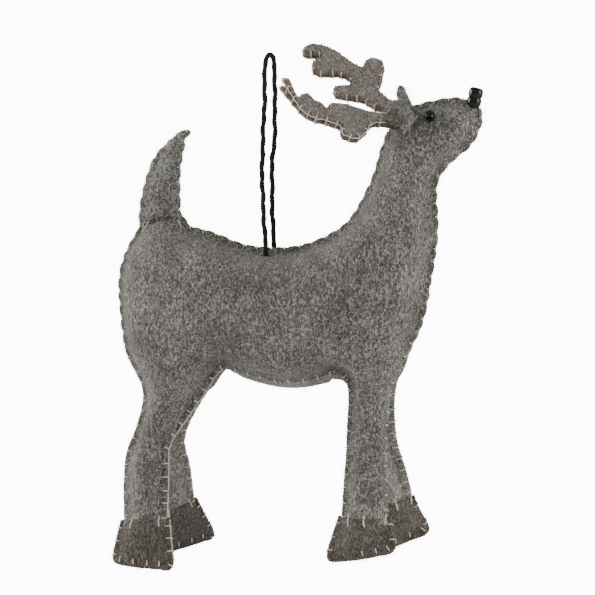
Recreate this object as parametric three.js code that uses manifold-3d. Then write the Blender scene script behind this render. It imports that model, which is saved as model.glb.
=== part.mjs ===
import * as THREE from 'three';
import { mergeVertices } from 'three/addons/utils/BufferGeometryUtils.js';
import Module from 'manifold-3d';

const wasm = await Module();
wasm.setup();

// A stuffed felt reindeer on a cord loop. Lengths are millimetres and angles degrees.
// The origin is the inner top of the loop. +X runs to the head, +Y to the left flank, +Z up.
// Heights in the reindeer's own lists are measured from the lowest hoof.

// Felt and sewing
const feltThickness = 2.0;
const sewingGap = 0.3;

// Widths across the stuffed parts, at their fullest section
const bodyWidth = 43;
const legWidth = 16;
const tailWidth = 14;

// Distance between the seams of a pair of legs, from the crotch up and at the ground
const crotchHeight = 64;
const legSpreadAtCrotch = 5.2;
const legSpreadAtGround = 59;
const gussetTop = 84;

// Antlers and ears
const antlerLayerThickness = 1.5;
const antlerLayerGap = 0.2;
const antlerFlex = 15;
const earLength = 13;
const earWidth = 8.5;
const earThickness = 1.8;
const earFlex = 20;
const earSink = 3;
const rootGap = 0.5;

// Tail
const tailFlex = 15;
const tailHinge = [-44.5, 0, 138];

// Beads
const eyeDiameter = 4.2;
const eyePlace = [67, 182];
const noseBeadDiameter = 5.2;
const noseBeadHeight = 3.7;
const noseBeadBore = 1.2;
const noseThreadDiameter = 0.7;
const nosePlace = [85.2, 0, 185];
const noseLean = [-0.2, 0, 1];

// Hanging cord
const cordDiameter = 1.8;
const cordSides = 8;
const cordSteps = 72;
const cordHoleClearance = 0.3;
const swingRange = 18;
const knotDiameter = 4.4;
const knotDrop = 5;
const strandRise = 13;
const anchorPlace = [0, 125];

// The cord runs from the right flank up over the hook and down to the left flank.
const cordRoute = [
  [-0.5, -4.6, -79.4],
  [-0.8, -4.7, -73.0],
  [-1.3, -4.8, -65.0],
  [-2.0, -4.7, -52.0],
  [-2.0, -4.4, -37.0],
  [-1.4, -4.1, -22.0],
  [-1.2, -3.8, -10.0],
  [-1.1, -3.4, -3.4],
  [-0.8, -2.3, -0.3],
  [0.0, 0.0, 0.9],
  [0.7, 2.3, -0.3],
  [0.9, 3.4, -3.4],
  [0.9, 3.8, -14.0],
  [0.9, 4.2, -30.0],
  [-0.2, 4.5, -42.0],
  [-0.4, 4.7, -56.0],
  [0.0, 4.8, -69.0],
  [0.5, 4.6, -79.4],
];

// Sections of the body from rump to snout: back x and z, belly x and z, share of the width
const bodySections = [
  [-63.6, 113, -63.3, 101, 0.26],
  [-60.8, 124.5, -61.8, 88, 0.62],
  [-54.7, 135, -57, 77, 0.87],
  [-44, 138.3, -44, 73.5, 1],
  [-33.5, 136.4, -30, 74, 1.03],
  [-18, 131.7, -16, 75.8, 1.02],
  [-1.7, 127.7, -1.8, 72.4, 1],
  [10.7, 127.1, 12, 71, 0.98],
  [20, 130, 28, 74.8, 0.94],
  [27, 134, 44, 76, 0.87],
  [32.6, 137.6, 56.5, 85.5, 0.79],
  [36, 142.2, 63.7, 103.5, 0.71],
  [38.7, 147, 67.3, 122, 0.64],
  [41, 152, 68.8, 141.5, 0.58],
  [43.4, 158.5, 68.1, 151.5, 0.54],
  [45.2, 167.5, 69.6, 158.5, 0.53],
  [48, 175.2, 75.5, 164.8, 0.52],
  [52.5, 182, 80.2, 168, 0.51],
  [60, 185.6, 83.8, 172.5, 0.5],
  [69, 187.5, 85.5, 176.5, 0.44],
  [76.5, 188.4, 86.3, 180, 0.34],
  [81, 187.4, 86.2, 182, 0.24],
];
const neckFrom = 10;
const headFrom = 15;

// Sections of a leg from the hip down, then of its hoof: rear x and z, front x and z, share
const rearLegSections = [
  [-49.5, 105.4, -25.4, 105.4, 0.6],
  [-57.3, 91.1, -16, 91.1, 1.4],
  [-57.4, 76.7, -20.1, 76.7, 1.6],
  [-53.6, 65.5, -27, 65.5, 1.38],
  [-54.9, 52.7, -35.7, 52.7, 1.1],
  [-57.7, 43.9, -39.6, 44.9, 1],
  [-56.7, 30.4, -38.6, 30.4, 0.97],
  [-55, 18.3, -37.7, 19.7, 0.95],
];
const rearHoofSections = [
  [-57.3, 17.8, -36.2, 19.2, 1.2],
  [-58, 9.4, -34, 9.9, 1.05],
  [-57.7, 2.4, -32.3, 0, 0.65],
];
const frontLegSections = [
  [34.7, 103.4, 50.8, 103.4, 0.6],
  [29.7, 90.1, 55.9, 91.1, 1.3],
  [30.8, 76.7, 53.6, 77.7, 1.45],
  [33.4, 64.5, 51.7, 65, 1.25],
  [34.3, 45.9, 50.7, 46.4, 1.02],
  [34.4, 33.3, 52.3, 33.3, 0.97],
  [34.7, 23.1, 53.5, 24.5, 0.95],
];
const frontHoofSections = [
  [33.5, 22.6, 55.4, 24, 1.2],
  [31.8, 14.6, 56.5, 16.6, 1.05],
  [30.7, 6.2, 57.3, 11.1, 0.65],
];

// Sections of the tail from its base: rear x and z, front x and z, share
const tailSections = [
  [-54.6, 132, -34.6, 132, 1],
  [-54.4, 141, -37, 140, 1],
  [-53.4, 149, -38, 148, 0.94],
  [-50.9, 157, -37.8, 155.5, 0.84],
  [-47.4, 164.3, -36.8, 162.5, 0.68],
  [-42, 170.6, -35.4, 168.8, 0.5],
  [-38, 173.2, -33.8, 172.4, 0.36],
];

// Antler patterns, as points along and across each antler from its root
const rightAntlerPattern = [
  [-4, 2], [0, 2], [10.4, 0.8], [16.6, 0.6], [24.2, -1.6], [25.6, -5.2], [28.6, -3.4], [31.4, -3],
  [34.4, -0.6], [37.6, -4.2], [41.6, 0], [43.8, 2.4], [45.8, -0.6], [40.4, -6.8], [34.6, -11.8],
  [28.7, -13.7], [22.5, -13.9], [18, -14.8], [16.2, -18], [10.6, -17.6], [8.2, -13.3], [7, -8.8],
  [2.8, -4.6], [-4, -3.4],
];
const leftAntlerPattern = [
  [-4, 1], [0, 1.6], [3.5, 2.2], [10.8, 2.7], [13.1, 6.8], [15.9, 12], [18.3, 14.2], [21.9, 13.8],
  [23.7, 11], [23.5, 7.9], [27.9, 7.4], [33.5, 7.6], [40, 7.6], [45.7, 5.4], [47.9, 1.2], [44.9, -1.6],
  [39.7, 0.4], [39.8, -3.5], [37.1, -5.8], [33.1, -5], [26.3, -1.2], [23.1, -1.6], [25.3, -6.8],
  [22.5, -9.2], [16.5, -8], [11.5, -5.4], [7.5, -4.6], [0, -3.6], [-4, -3.2],
];
const antlerPoints = 54;

// Where each antler grows, where it points and which way its breadth leans
const rightAntlerRoot = [51.5, -7, 180.5];
const rightAntlerTip = [9.6, -15, 193.8];
const rightAntlerLean = [0, 0.707, 0.707];
const leftAntlerRoot = [50.5, 5.8, 182.3];
const leftAntlerTip = [9.6, 16, 205.7];
const leftAntlerLean = [0, 0.574, 0.819];

// Where each ear is sewn, where it points and which way its breadth lies
const rightEarRoot = [58.5, -8.5, 182.5];
const rightEarTip = [64.5, -18.5, 175.5];
const rightEarLean = [-0.9, 0, -0.45];
const leftEarRoot = [59, 6, 183.7];
const leftEarTip = [54.5, 14.5, 192.5];
const leftEarLean = [1, 0, 0.2];

// Facets
const bodySides = 18;
const limbSides = 12;
const beadSides = 14;
const farAway = 400;

const seamSlope = (legSpreadAtGround - legSpreadAtCrotch) / 2 / crotchHeight;
const seamAt = (z) => Math.max(legSpreadAtCrotch / 2, legSpreadAtGround / 2 - seamSlope * z);
const vector = (list) => new THREE.Vector3(...list);

function solidOf(geometry) {
  const bare = geometry.clone();
  bare.deleteAttribute('normal');
  bare.deleteAttribute('uv');
  const merged = mergeVertices(bare, 1e-4);
  const vertProperties = new Float32Array(merged.attributes.position.array);
  const triVerts = new Uint32Array(merged.index.array);
  return new wasm.Manifold(new wasm.Mesh({ numProp: 3, vertProperties, triVerts }));
}

function geometryOf(solid) {
  const mesh = solid.getMesh();
  const geometry = new THREE.BufferGeometry();
  geometry.setAttribute('position', new THREE.BufferAttribute(new Float32Array(mesh.vertProperties), 3));
  geometry.setIndex(new THREE.BufferAttribute(new Uint32Array(mesh.triVerts), 1));
  geometry.computeVertexNormals();
  return geometry;
}

function volumeOf(points, triangles) {
  let sum = 0;
  for (const [a, b, c] of triangles) {
    sum += points[a].dot(new THREE.Vector3().crossVectors(points[b], points[c]));
  }
  return sum / 6;
}

// A closed form through lens sections. A section's two seam points lie in the profile,
// and its breadth stands across them. Insets shrink it, and move its two ends inwards.
function loft(sections, { width, sides, inset = 0, startInset = 0, endInset = 0, side = 0 }) {
  const rings = sections.map(([ax, az, bx, bz, share]) => {
    const middle = new THREE.Vector3((ax + bx) / 2, 0, (az + bz) / 2);
    const reach = new THREE.Vector3((bx - ax) / 2, 0, (bz - az) / 2);
    reach.setLength(reach.length() - inset);
    return { middle, reach, half: (width / 2) * share - inset };
  });
  const last = rings.length - 1;
  const inwardAt = (from, to) => rings[to].middle.clone().sub(rings[from].middle).normalize();
  const startMove = inwardAt(0, 1).multiplyScalar(startInset);
  const endMove = inwardAt(last, last - 1).multiplyScalar(endInset);
  rings[0].middle.add(startMove);
  rings[last].middle.add(endMove);

  const points = [];
  for (const { middle, reach, half } of rings) {
    for (let i = 0; i < sides; i += 1) {
      const angle = (2 * Math.PI * i) / sides;
      const point = middle.clone().addScaledVector(reach, Math.cos(angle));
      point.y = half * Math.sin(angle) + side * seamAt(point.z);
      points.push(point);
    }
  }
  const triangles = [];
  for (let ring = 0; ring < last; ring += 1) {
    for (let i = 0; i < sides; i += 1) {
      const a = ring * sides + i;
      const b = ring * sides + ((i + 1) % sides);
      triangles.push([a, b, b + sides], [a, b + sides, a + sides]);
    }
  }
  for (let i = 1; i < sides - 1; i += 1) {
    triangles.push([0, i + 1, i], [last * sides, last * sides + i, last * sides + i + 1]);
  }
  if (volumeOf(points, triangles) < 0) {
    triangles.forEach((triangle) => triangle.reverse());
  }
  const geometry = new THREE.BufferGeometry().setFromPoints(points);
  geometry.setIndex(triangles.flat());
  return geometry;
}

const bodyLoft = (inset, from = 0, to = bodySections.length - 1, ends = {}) => loft(
  bodySections.slice(from, to + 1),
  { width: bodyWidth, sides: bodySides, inset, startInset: inset, endInset: inset, ...ends },
);
const legLoft = (sections, side, inset, ends = {}) => loft(
  sections,
  { width: legWidth, sides: limbSides, inset, side, ...ends },
);
const tailLoft = (inset, ends = {}) => loft(
  tailSections,
  { width: tailWidth, sides: limbSides, inset, endInset: inset, ...ends },
);

const legs = [
  { name: 'right_front', side: -1, leg: frontLegSections, hoof: frontHoofSections },
  { name: 'left_front', side: 1, leg: frontLegSections, hoof: frontHoofSections },
  { name: 'right_rear', side: -1, leg: rearLegSections, hoof: rearHoofSections },
  { name: 'left_rear', side: 1, leg: rearLegSections, hoof: rearHoofSections },
];

// Half spaces and the wedge between the leg seams, for parting the felt along its seams
function sideBlock(side) {
  const block = new THREE.BoxGeometry(2 * farAway, farAway, 2 * farAway);
  return solidOf(block.translate(0, side * (farAway / 2 + sewingGap / 2), 0));
}

function seamWedge(grow, zLow = -feltThickness * 5, zHigh = gussetTop) {
  const low = seamAt(zLow) + grow;
  const high = legSpreadAtCrotch / 2 + grow;
  const section = new THREE.Shape([
    new THREE.Vector2(-low, zLow),
    new THREE.Vector2(low, zLow),
    new THREE.Vector2(high, crotchHeight),
    new THREE.Vector2(high, zHigh + grow),
    new THREE.Vector2(-high, zHigh + grow),
    new THREE.Vector2(-high, crotchHeight),
  ]);
  const prism = new THREE.ExtrudeGeometry(section, { depth: farAway, bevelEnabled: false });
  prism.translate(0, 0, -farAway / 2);
  const alongX = new THREE.Matrix4();
  alongX.makeBasis(vector([0, 1, 0]), vector([0, 0, 1]), vector([1, 0, 0]));
  return solidOf(prism.applyMatrix4(alongX));
}

// The body turned about a hinge, both ways to its limits, as a piece on that hinge meets it
function bodyAsMet(clearance, point, axis, limit) {
  const about = vector(point);
  let met = solidOf(bodyLoft(-clearance));
  for (const angle of [-limit, limit]) {
    const turned = bodyLoft(-clearance).translate(-about.x, -about.y, -about.z);
    const turn = new THREE.Matrix4().makeRotationAxis(vector(axis), THREE.MathUtils.degToRad(angle));
    turned.applyMatrix4(turn).translate(about.x, about.y, about.z);
    met = met.add(solidOf(turned));
  }
  return met;
}

// First point of the body along a ray, with the outward normal there
function onBody(from, direction) {
  const probe = new THREE.Mesh(bodyLoft(0));
  probe.geometry.computeVertexNormals();
  const ray = new THREE.Raycaster(from, direction);
  const [hit] = ray.intersectObject(probe);
  return hit && { point: hit.point, normal: hit.face.normal };
}

const reindeer = new THREE.Group();

function addPiece(name, geometry, material) {
  const mesh = new THREE.Mesh(geometry, new THREE.MeshStandardMaterial(material));
  mesh.name = name;
  reindeer.add(mesh);
}

const greyFelt = { color: 0x6e6c69, roughness: 0.95, metalness: 0 };
const gussetFelt = { color: 0x7c7873, roughness: 0.95, metalness: 0 };
const hoofFelt = { color: 0x5b534c, roughness: 0.95, metalness: 0 };
const antlerFelt = { color: 0x7a726a, roughness: 0.95, metalness: 0 };
const wadding = { color: 0xe6e2da, roughness: 1, metalness: 0 };
const blackBead = { color: 0x0c0c0d, roughness: 0.12, metalness: 0 };
const darkBead = { color: 0x1d1411, roughness: 0.12, metalness: 0 };
const blackCord = { color: 0x17160f, roughness: 0.8, metalness: 0 };
const paleThread = { color: 0xcabfae, roughness: 0.8, metalness: 0 };

// Side panels and belly gusset, cut from one skin along the seams
const openEnd = -sewingGap * 4;
const legCavity = { startInset: 0, endInset: openEnd };
let outerForm = solidOf(bodyLoft(0));
let innerForm = solidOf(bodyLoft(feltThickness));
for (const { side, leg } of legs) {
  outerForm = outerForm.add(solidOf(legLoft(leg, side, 0)));
  innerForm = innerForm.add(solidOf(legLoft(leg, side, feltThickness, legCavity)));
}
const cordRadius = cordDiameter / 2;
const strandFeet = [cordRoute[0], cordRoute[cordRoute.length - 1]];
const knotHeight = anchorPlace[1] - knotDrop;

// The two strands of the loop where they pass down through the back
function strandEnds(radius) {
  const ends = strandFeet.map(([x, y]) => {
    const end = new THREE.CylinderGeometry(radius, radius, strandRise, cordSides);
    return solidOf(end.rotateX(Math.PI / 2).translate(x, y, knotHeight + strandRise / 2));
  });
  return ends[0].add(ends[1]);
}
const skin = outerForm.subtract(innerForm).subtract(strandEnds(cordRadius + cordHoleClearance));
const flanks = skin.subtract(seamWedge(sewingGap / 2));
addPiece('right_side_panel', geometryOf(flanks.intersect(sideBlock(-1))), greyFelt);
addPiece('left_side_panel', geometryOf(flanks.intersect(sideBlock(1))), greyFelt);
addPiece('belly_gusset', geometryOf(skin.intersect(seamWedge(-sewingGap / 2))), gussetFelt);

// Loop knot: the strands come down through the panels and are knotted inside the wadding
function knotForm(grow) {
  const radius = cordRadius + grow;
  const span = strandFeet[1][1] - strandFeet[0][1] + 2 * radius;
  const run = new THREE.CylinderGeometry(radius, radius, span, cordSides);
  const ball = new THREE.SphereGeometry(knotDiameter / 2 + grow, cordSides + 2, cordSides);
  const placed = (form) => solidOf(form.translate(anchorPlace[0], 0, knotHeight));
  const knot = placed(run).add(placed(ball)).add(strandEnds(radius));
  return knot.intersect(solidOf(bodyLoft(0)));
}
addPiece('loop_knot', geometryOf(knotForm(0)), blackCord);

// Wadding of the torso, neck and head, end to end inside the skin
const waddingInset = feltThickness + sewingGap;
const lastSection = bodySections.length - 1;
const torsoWadding = solidOf(bodyLoft(waddingInset, 0, neckFrom, { endInset: sewingGap }));
addPiece('torso_stuffing', geometryOf(torsoWadding.subtract(knotForm(sewingGap))), wadding);
const neckEnds = { startInset: 0, endInset: sewingGap };
addPiece('neck_stuffing', bodyLoft(waddingInset, neckFrom, headFrom, neckEnds), wadding);
addPiece('head_stuffing', bodyLoft(waddingInset, headFrom, lastSection, { startInset: 0 }), wadding);

// Legs and hooves
const bodyCavity = solidOf(bodyLoft(feltThickness));
const hoofCavity = { startInset: openEnd, endInset: feltThickness };
for (const { name, side, leg, hoof } of legs) {
  const filled = solidOf(legLoft([...leg, ...hoof], side, waddingInset, { endInset: waddingInset }));
  const halfFilled = filled.subtract(bodyCavity).intersect(sideBlock(side));
  addPiece(`${name}_leg_stuffing`, geometryOf(halfFilled), wadding);
  const hoofOuter = solidOf(legLoft(hoof, side, 0));
  const hoofSkin = hoofOuter.subtract(solidOf(legLoft(hoof, side, feltThickness, hoofCavity)));
  addPiece(`${name}_hoof_outer`, geometryOf(hoofSkin.subtract(seamWedge(sewingGap / 2))), hoofFelt);
  addPiece(`${name}_hoof_inner`, geometryOf(hoofSkin.intersect(seamWedge(-sewingGap / 2))), hoofFelt);
}

// Tail, free to flop sideways on the seam along its base
const rumpUnderTail = bodyAsMet(sewingGap, tailHinge, [1, 0, 0], tailFlex);
const tailCavity = solidOf(tailLoft(feltThickness, { startInset: openEnd }));
const freeTailSkin = solidOf(tailLoft(0)).subtract(tailCavity).subtract(rumpUnderTail);
addPiece('tail_right_felt', geometryOf(freeTailSkin.intersect(sideBlock(-1))), greyFelt);
addPiece('tail_left_felt', geometryOf(freeTailSkin.intersect(sideBlock(1))), greyFelt);
addPiece('tail_stuffing', geometryOf(solidOf(tailLoft(waddingInset)).subtract(rumpUnderTail)), wadding);

// A flat frame with its x axis from root to tip and its y axis on the lean
function plateFrame(root, tip, lean) {
  const along = vector(tip).sub(vector(root)).normalize();
  const across = vector(lean).addScaledVector(along, -vector(lean).dot(along)).normalize();
  const normal = new THREE.Vector3().crossVectors(along, across);
  const matrix = new THREE.Matrix4().makeBasis(along, across, normal).setPosition(...root);
  return { across, matrix };
}

// Antlers, each of two layers sewn round the edge, springy at the root
const antlerLayers = [
  ['lower', antlerLayerGap / 2],
  ['upper', -antlerLayerGap / 2 - antlerLayerThickness],
];
function addAntler(name, pattern, root, tip, lean) {
  const { across, matrix } = plateFrame(root, tip, lean);
  const corners = pattern.map(([x, y]) => new THREE.Vector3(x, y, 0));
  const outline = new THREE.CatmullRomCurve3(corners, true, 'centripetal').getSpacedPoints(antlerPoints);
  const shape = new THREE.Shape(outline.slice(0, -1).map(({ x, y }) => new THREE.Vector2(x, y)));
  const head = bodyAsMet(rootGap, root, across.toArray(), antlerFlex);
  for (const [layer, start] of antlerLayers) {
    const plate = new THREE.ExtrudeGeometry(shape, { depth: antlerLayerThickness, bevelEnabled: false });
    plate.translate(0, 0, start).applyMatrix4(matrix);
    addPiece(`${name}_${layer}_felt`, geometryOf(solidOf(plate).subtract(head)), antlerFelt);
  }
}
addAntler('right_antler', rightAntlerPattern, rightAntlerRoot, rightAntlerTip, rightAntlerLean);
addAntler('left_antler', leftAntlerPattern, leftAntlerRoot, leftAntlerTip, leftAntlerLean);

// Ears, a felt leaf each
function addEar(name, root, tip, lean) {
  const { across, matrix } = plateFrame(root, tip, lean);
  const leaf = new THREE.Shape();
  leaf.moveTo(-earSink, -earWidth / 3);
  const low = { x: earLength * 0.3, y: earWidth * 0.62 };
  const high = { x: earLength * 0.8, y: earWidth * 0.42 };
  leaf.bezierCurveTo(low.x, -low.y, high.x, -high.y, earLength, 0);
  leaf.bezierCurveTo(high.x, high.y, low.x, low.y, -earSink, earWidth / 3);
  const plate = new THREE.ExtrudeGeometry(leaf, {
    depth: earThickness,
    bevelEnabled: false,
    curveSegments: 8,
  });
  plate.translate(0, 0, -earThickness / 2).applyMatrix4(matrix);
  const head = bodyAsMet(rootGap, root, across.toArray(), earFlex);
  addPiece(name, geometryOf(solidOf(plate).subtract(head)), greyFelt);
}
addEar('right_ear', rightEarRoot, rightEarTip, rightEarLean);
addEar('left_ear', leftEarRoot, leftEarTip, leftEarLean);

// Eye beads, sewn tight on both cheeks
for (const [name, side] of [['right_eye_bead', -1], ['left_eye_bead', 1]]) {
  const beside = vector([eyePlace[0], side * bodyWidth, eyePlace[1]]);
  const { point, normal } = onBody(beside, vector([0, -side, 0]));
  const bead = new THREE.SphereGeometry(eyeDiameter / 2, beadSides, beadSides / 2);
  const place = point.clone().addScaledVector(normal, eyeDiameter / 2 + sewingGap);
  addPiece(name, bead.translate(place.x, place.y, place.z), blackBead);
}

// Two bored beads stacked on a thread at the tip of the snout
const noseUp = vector(noseLean).normalize();
const noseDown = noseUp.clone().negate();
const aboveNose = vector(nosePlace).addScaledVector(noseUp, bodyWidth);
const noseSeat = onBody(aboveNose, noseDown).point;
const noseTurn = new THREE.Quaternion().setFromUnitVectors(vector([0, 1, 0]), noseUp);

function placeOnNose(geometry, height) {
  geometry.applyQuaternion(noseTurn);
  const place = noseSeat.clone().addScaledVector(noseUp, height);
  return geometry.translate(place.x, place.y, place.z);
}

function boredBead() {
  const bore = noseBeadBore / 2;
  const wall = noseBeadDiameter / 2 - bore;
  const profile = [];
  for (let i = 0; i <= beadSides; i += 1) {
    const angle = Math.PI * (i / beadSides - 0.5);
    const height = (noseBeadHeight / 2) * Math.sin(angle);
    profile.push(new THREE.Vector2(bore + wall * Math.cos(angle), height));
  }
  profile.push(profile[0].clone());
  return new THREE.LatheGeometry(profile, beadSides);
}

// How far the felt under a bead rises above the seat, less the bead's own roundness there
function seatRise() {
  const sideways = vector([0, 1, 0]);
  let rise = 0;
  for (const share of [0.5, 0.85]) {
    const lift = (noseBeadHeight / 2) * (1 - Math.sqrt(1 - share * share));
    for (let i = 0; i < beadSides; i += 1) {
      const out = sideways.clone().applyAxisAngle(noseUp, (2 * Math.PI * i) / beadSides);
      const from = noseSeat.clone().addScaledVector(noseUp, bodyWidth);
      const hit = onBody(from.addScaledVector(out, (share * noseBeadDiameter) / 2), noseDown);
      rise = hit ? Math.max(rise, hit.point.sub(noseSeat).dot(noseUp) - lift) : rise;
    }
  }
  return rise;
}
const beadStep = noseBeadHeight + sewingGap;
const beadFloor = seatRise() + sewingGap;
const firstBead = beadFloor + noseBeadHeight / 2;
addPiece('nose_base_bead', placeOnNose(boredBead(), firstBead), darkBead);
addPiece('nose_tip_bead', placeOnNose(boredBead(), firstBead + beadStep), darkBead);
const noseThreadLength = 2 * beadStep - sewingGap;
const noseThreadRadius = noseThreadDiameter / 2;
const noseThread = new THREE.CylinderGeometry(
  noseThreadRadius,
  noseThreadRadius,
  noseThreadLength,
  cordSides,
);
addPiece('nose_thread', placeOnNose(noseThread, beadFloor + noseThreadLength / 2), paleThread);

// Hanging loop, one cord that meets the back at both ends
const anchorDrop = cordRoute[0][2] + cordRadius / 2;
const reindeerPlace = new THREE.Vector3(-anchorPlace[0], 0, anchorDrop - anchorPlace[1]);
const cordCurve = new THREE.CatmullRomCurve3(cordRoute.map(vector), false, 'centripetal');
const cordSection = new THREE.Shape();
cordSection.absarc(0, 0, cordRadius, 0, 2 * Math.PI);
const cordTube = new THREE.ExtrudeGeometry(cordSection, {
  steps: cordSteps,
  curveSegments: cordSides / 2,
  extrudePath: cordCurve,
  bevelEnabled: false,
});
cordTube.translate(-reindeerPlace.x, 0, -reindeerPlace.z);
const anchor = [anchorPlace[0], 0, anchorPlace[1]];
const backAsMet = bodyAsMet(sewingGap, anchor, [0, 1, 0], swingRange);
addPiece('hanging_loop', geometryOf(solidOf(cordTube).subtract(backAsMet)), blackCord);

// The whole ornament, hung from its loop
const ornament = new THREE.Group();
reindeer.position.copy(reindeerPlace);
ornament.add(reindeer);

export default ornament;
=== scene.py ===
import math
import bpy
import numpy as np
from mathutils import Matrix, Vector
from mathutils.bvhtree import BVHTree
from mathutils.geometry import delaunay_2d_cdt


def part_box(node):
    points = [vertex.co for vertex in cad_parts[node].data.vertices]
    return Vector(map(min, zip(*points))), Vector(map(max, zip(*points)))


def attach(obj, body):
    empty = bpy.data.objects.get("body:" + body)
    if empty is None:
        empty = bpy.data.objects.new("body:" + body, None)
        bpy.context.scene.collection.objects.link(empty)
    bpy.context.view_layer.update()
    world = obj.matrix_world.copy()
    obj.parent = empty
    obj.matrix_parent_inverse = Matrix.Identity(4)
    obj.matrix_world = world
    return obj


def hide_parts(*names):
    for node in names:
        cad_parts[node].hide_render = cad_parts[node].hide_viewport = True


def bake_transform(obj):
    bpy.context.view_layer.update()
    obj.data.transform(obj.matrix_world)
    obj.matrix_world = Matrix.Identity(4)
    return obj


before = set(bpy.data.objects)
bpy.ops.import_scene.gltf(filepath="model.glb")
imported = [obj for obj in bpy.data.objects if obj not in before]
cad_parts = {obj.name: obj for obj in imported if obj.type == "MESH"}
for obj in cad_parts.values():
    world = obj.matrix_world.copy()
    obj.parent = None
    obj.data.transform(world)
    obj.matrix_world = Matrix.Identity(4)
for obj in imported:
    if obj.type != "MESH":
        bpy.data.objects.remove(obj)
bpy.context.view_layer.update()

# lengths in the lists below are millimetres, heights from under the right rear hoof
hoofToLoop = 203.95
bothSides = ((-1, "right"), (1, "left"))


def toFrame(points):
    return (np.asarray(points, float) - (0, 0, hoofToLoop)) / 1000


def meshObject(name, points, faces, material):
    mesh = bpy.data.meshes.new(name)
    mesh.from_pydata([tuple(map(float, p)) for p in points], [], [tuple(map(int, f)) for f in faces])
    mesh.materials.append(material)
    mesh.polygons.foreach_set("use_smooth", [True] * len(mesh.polygons))
    mesh.update()
    piece = bpy.data.objects.new(name, mesh)
    bpy.context.scene.collection.objects.link(piece)
    return piece


def giveValue(piece, name, values):
    layer = piece.data.attributes.new(name, "FLOAT", "POINT")
    layer.data.foreach_set("value", np.asarray(values, np.float32))


def unit(vectors):
    vectors = np.asarray(vectors, float)
    return vectors / np.maximum(np.linalg.norm(vectors, axis=-1, keepdims=True), 1e-9)


def ease(low, high, value):
    t = np.clip((value - low) / (high - low), 0, 1)
    return t * t * (3 - 2 * t)


# node helpers
def addNodes(nodes, kinds, prefix="ShaderNode"):
    return [nodes.new(prefix + kind) for kind in kinds]


def setInputs(node, values):
    for key, value in values.items():
        node.inputs[key].default_value = value


def join(links, *rows):
    for giver, out, taker, into in rows:
        links.new(giver.outputs[out], taker.inputs[into])


def colourMix(nodes, low=None, high=None, blend="MIX"):
    mix = nodes.new("ShaderNodeMix")
    mix.data_type, mix.blend_type = "RGBA", blend
    for index, colour in ((6, low), (7, high)):
        if colour:
            mix.inputs[index].default_value = colour
    return mix


def newGroup(name, kind, inputs, outputs):
    group = bpy.data.node_groups.new(name, kind)
    for side, sockets in (("INPUT", inputs), ("OUTPUT", outputs)):
        for label, socket in sockets.items():
            group.interface.new_socket(label, in_out=side, socket_type="NodeSocket" + socket)
    return group, group.nodes, group.links, *addNodes(group.nodes, ("GroupInput", "GroupOutput"), "Node")


def newMaterial(name):
    material = bpy.data.materials.new(name)
    material.use_nodes = True
    nodes, links = material.node_tree.nodes, material.node_tree.links
    nodes.clear()
    shader, output = addNodes(nodes, ("BsdfPrincipled", "OutputMaterial"))
    join(links, (shader, 0, output, 0))
    return material, nodes, links, shader


# camera and light
cameraSet = {"place": (0.30182, -1.16507, 0.02976), "target": (0.013106, -0.007096, -0.095673),
             "lens": 181.51, "sensor": 36.0}
lightSet = {"world": 0.545, "backdrop": 12.0, "floorGlow": 11.2, "keyPower": 20.0, "fillPower": 12.5,
            "size": 0.9, "aim": (0.01, 0, -0.11), "key": (-1.15, -0.2, 0.25), "fill": (1.15, -0.2, 0.2),
            "floorDrop": 0.006, "floorReach": 6, "floor": (0.92, 0.92, 0.92, 1), "white": (1, 1, 1, 1)}


def aimed(name, data, place, target):
    thing = bpy.data.objects.new(name, data)
    bpy.context.scene.collection.objects.link(thing)
    thing.location = place
    thing.rotation_mode = "QUATERNION"
    thing.rotation_quaternion = (Vector(target) - Vector(place)).to_track_quat("-Z", "Y")
    return thing


def addCamera():
    data = bpy.data.cameras.new("photoCamera")
    data.lens, data.sensor_width = cameraSet["lens"], cameraSet["sensor"]
    bpy.context.scene.camera = aimed("photoCamera", data, cameraSet["place"], cameraSet["target"])


def addLight(name, power):
    data = bpy.data.lights.new(name, "AREA")
    data.energy, data.shape, data.size = power, "DISK", lightSet["size"]
    aimed(name, data, lightSet[name], lightSet["aim"])


def addBackdrop():
    world = bpy.data.worlds.new("studio")
    world.use_nodes = True
    bpy.context.scene.world = world
    nodes, links = world.node_tree.nodes, world.node_tree.links
    room = nodes["Background"]
    seen, path, mix = addNodes(nodes, ("Background", "LightPath", "MixShader"))
    for node, strength in ((room, lightSet["world"]), (seen, lightSet["backdrop"])):
        setInputs(node, {"Color": lightSet["white"], "Strength": strength})
    join(links, (path, "Is Camera Ray", mix, 0), (room, 0, mix, 1), (seen, 0, mix, 2),
         (mix, 0, nodes["World Output"], "Surface"))


def addFloor():
    material, nodes, links, shader = newMaterial("paleFloor")
    setInputs(shader, {"Base Color": lightSet["floor"], "Roughness": 0.9,
                       "Emission Color": lightSet["white"]})
    path, glow = addNodes(nodes, ("LightPath", "Math"))
    glow.operation = "MULTIPLY"
    setInputs(glow, {1: lightSet["floorGlow"]})
    join(links, (path, "Is Camera Ray", glow, 0), (glow, 0, shader, "Emission Strength"))
    far, low = lightSet["floorReach"], -hoofToLoop / 1000 - lightSet["floorDrop"]
    corners = [(-far, -far, low), (far, -far, low), (far, far, low), (-far, far, low)]
    meshObject("floor", corners, [(0, 1, 2, 3)], material)


addCamera()
addBackdrop()
addFloor()
addLight("key", lightSet["keyPower"])
addLight("fill", lightSet["fillPower"])
print("stage: camera and light")


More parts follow.
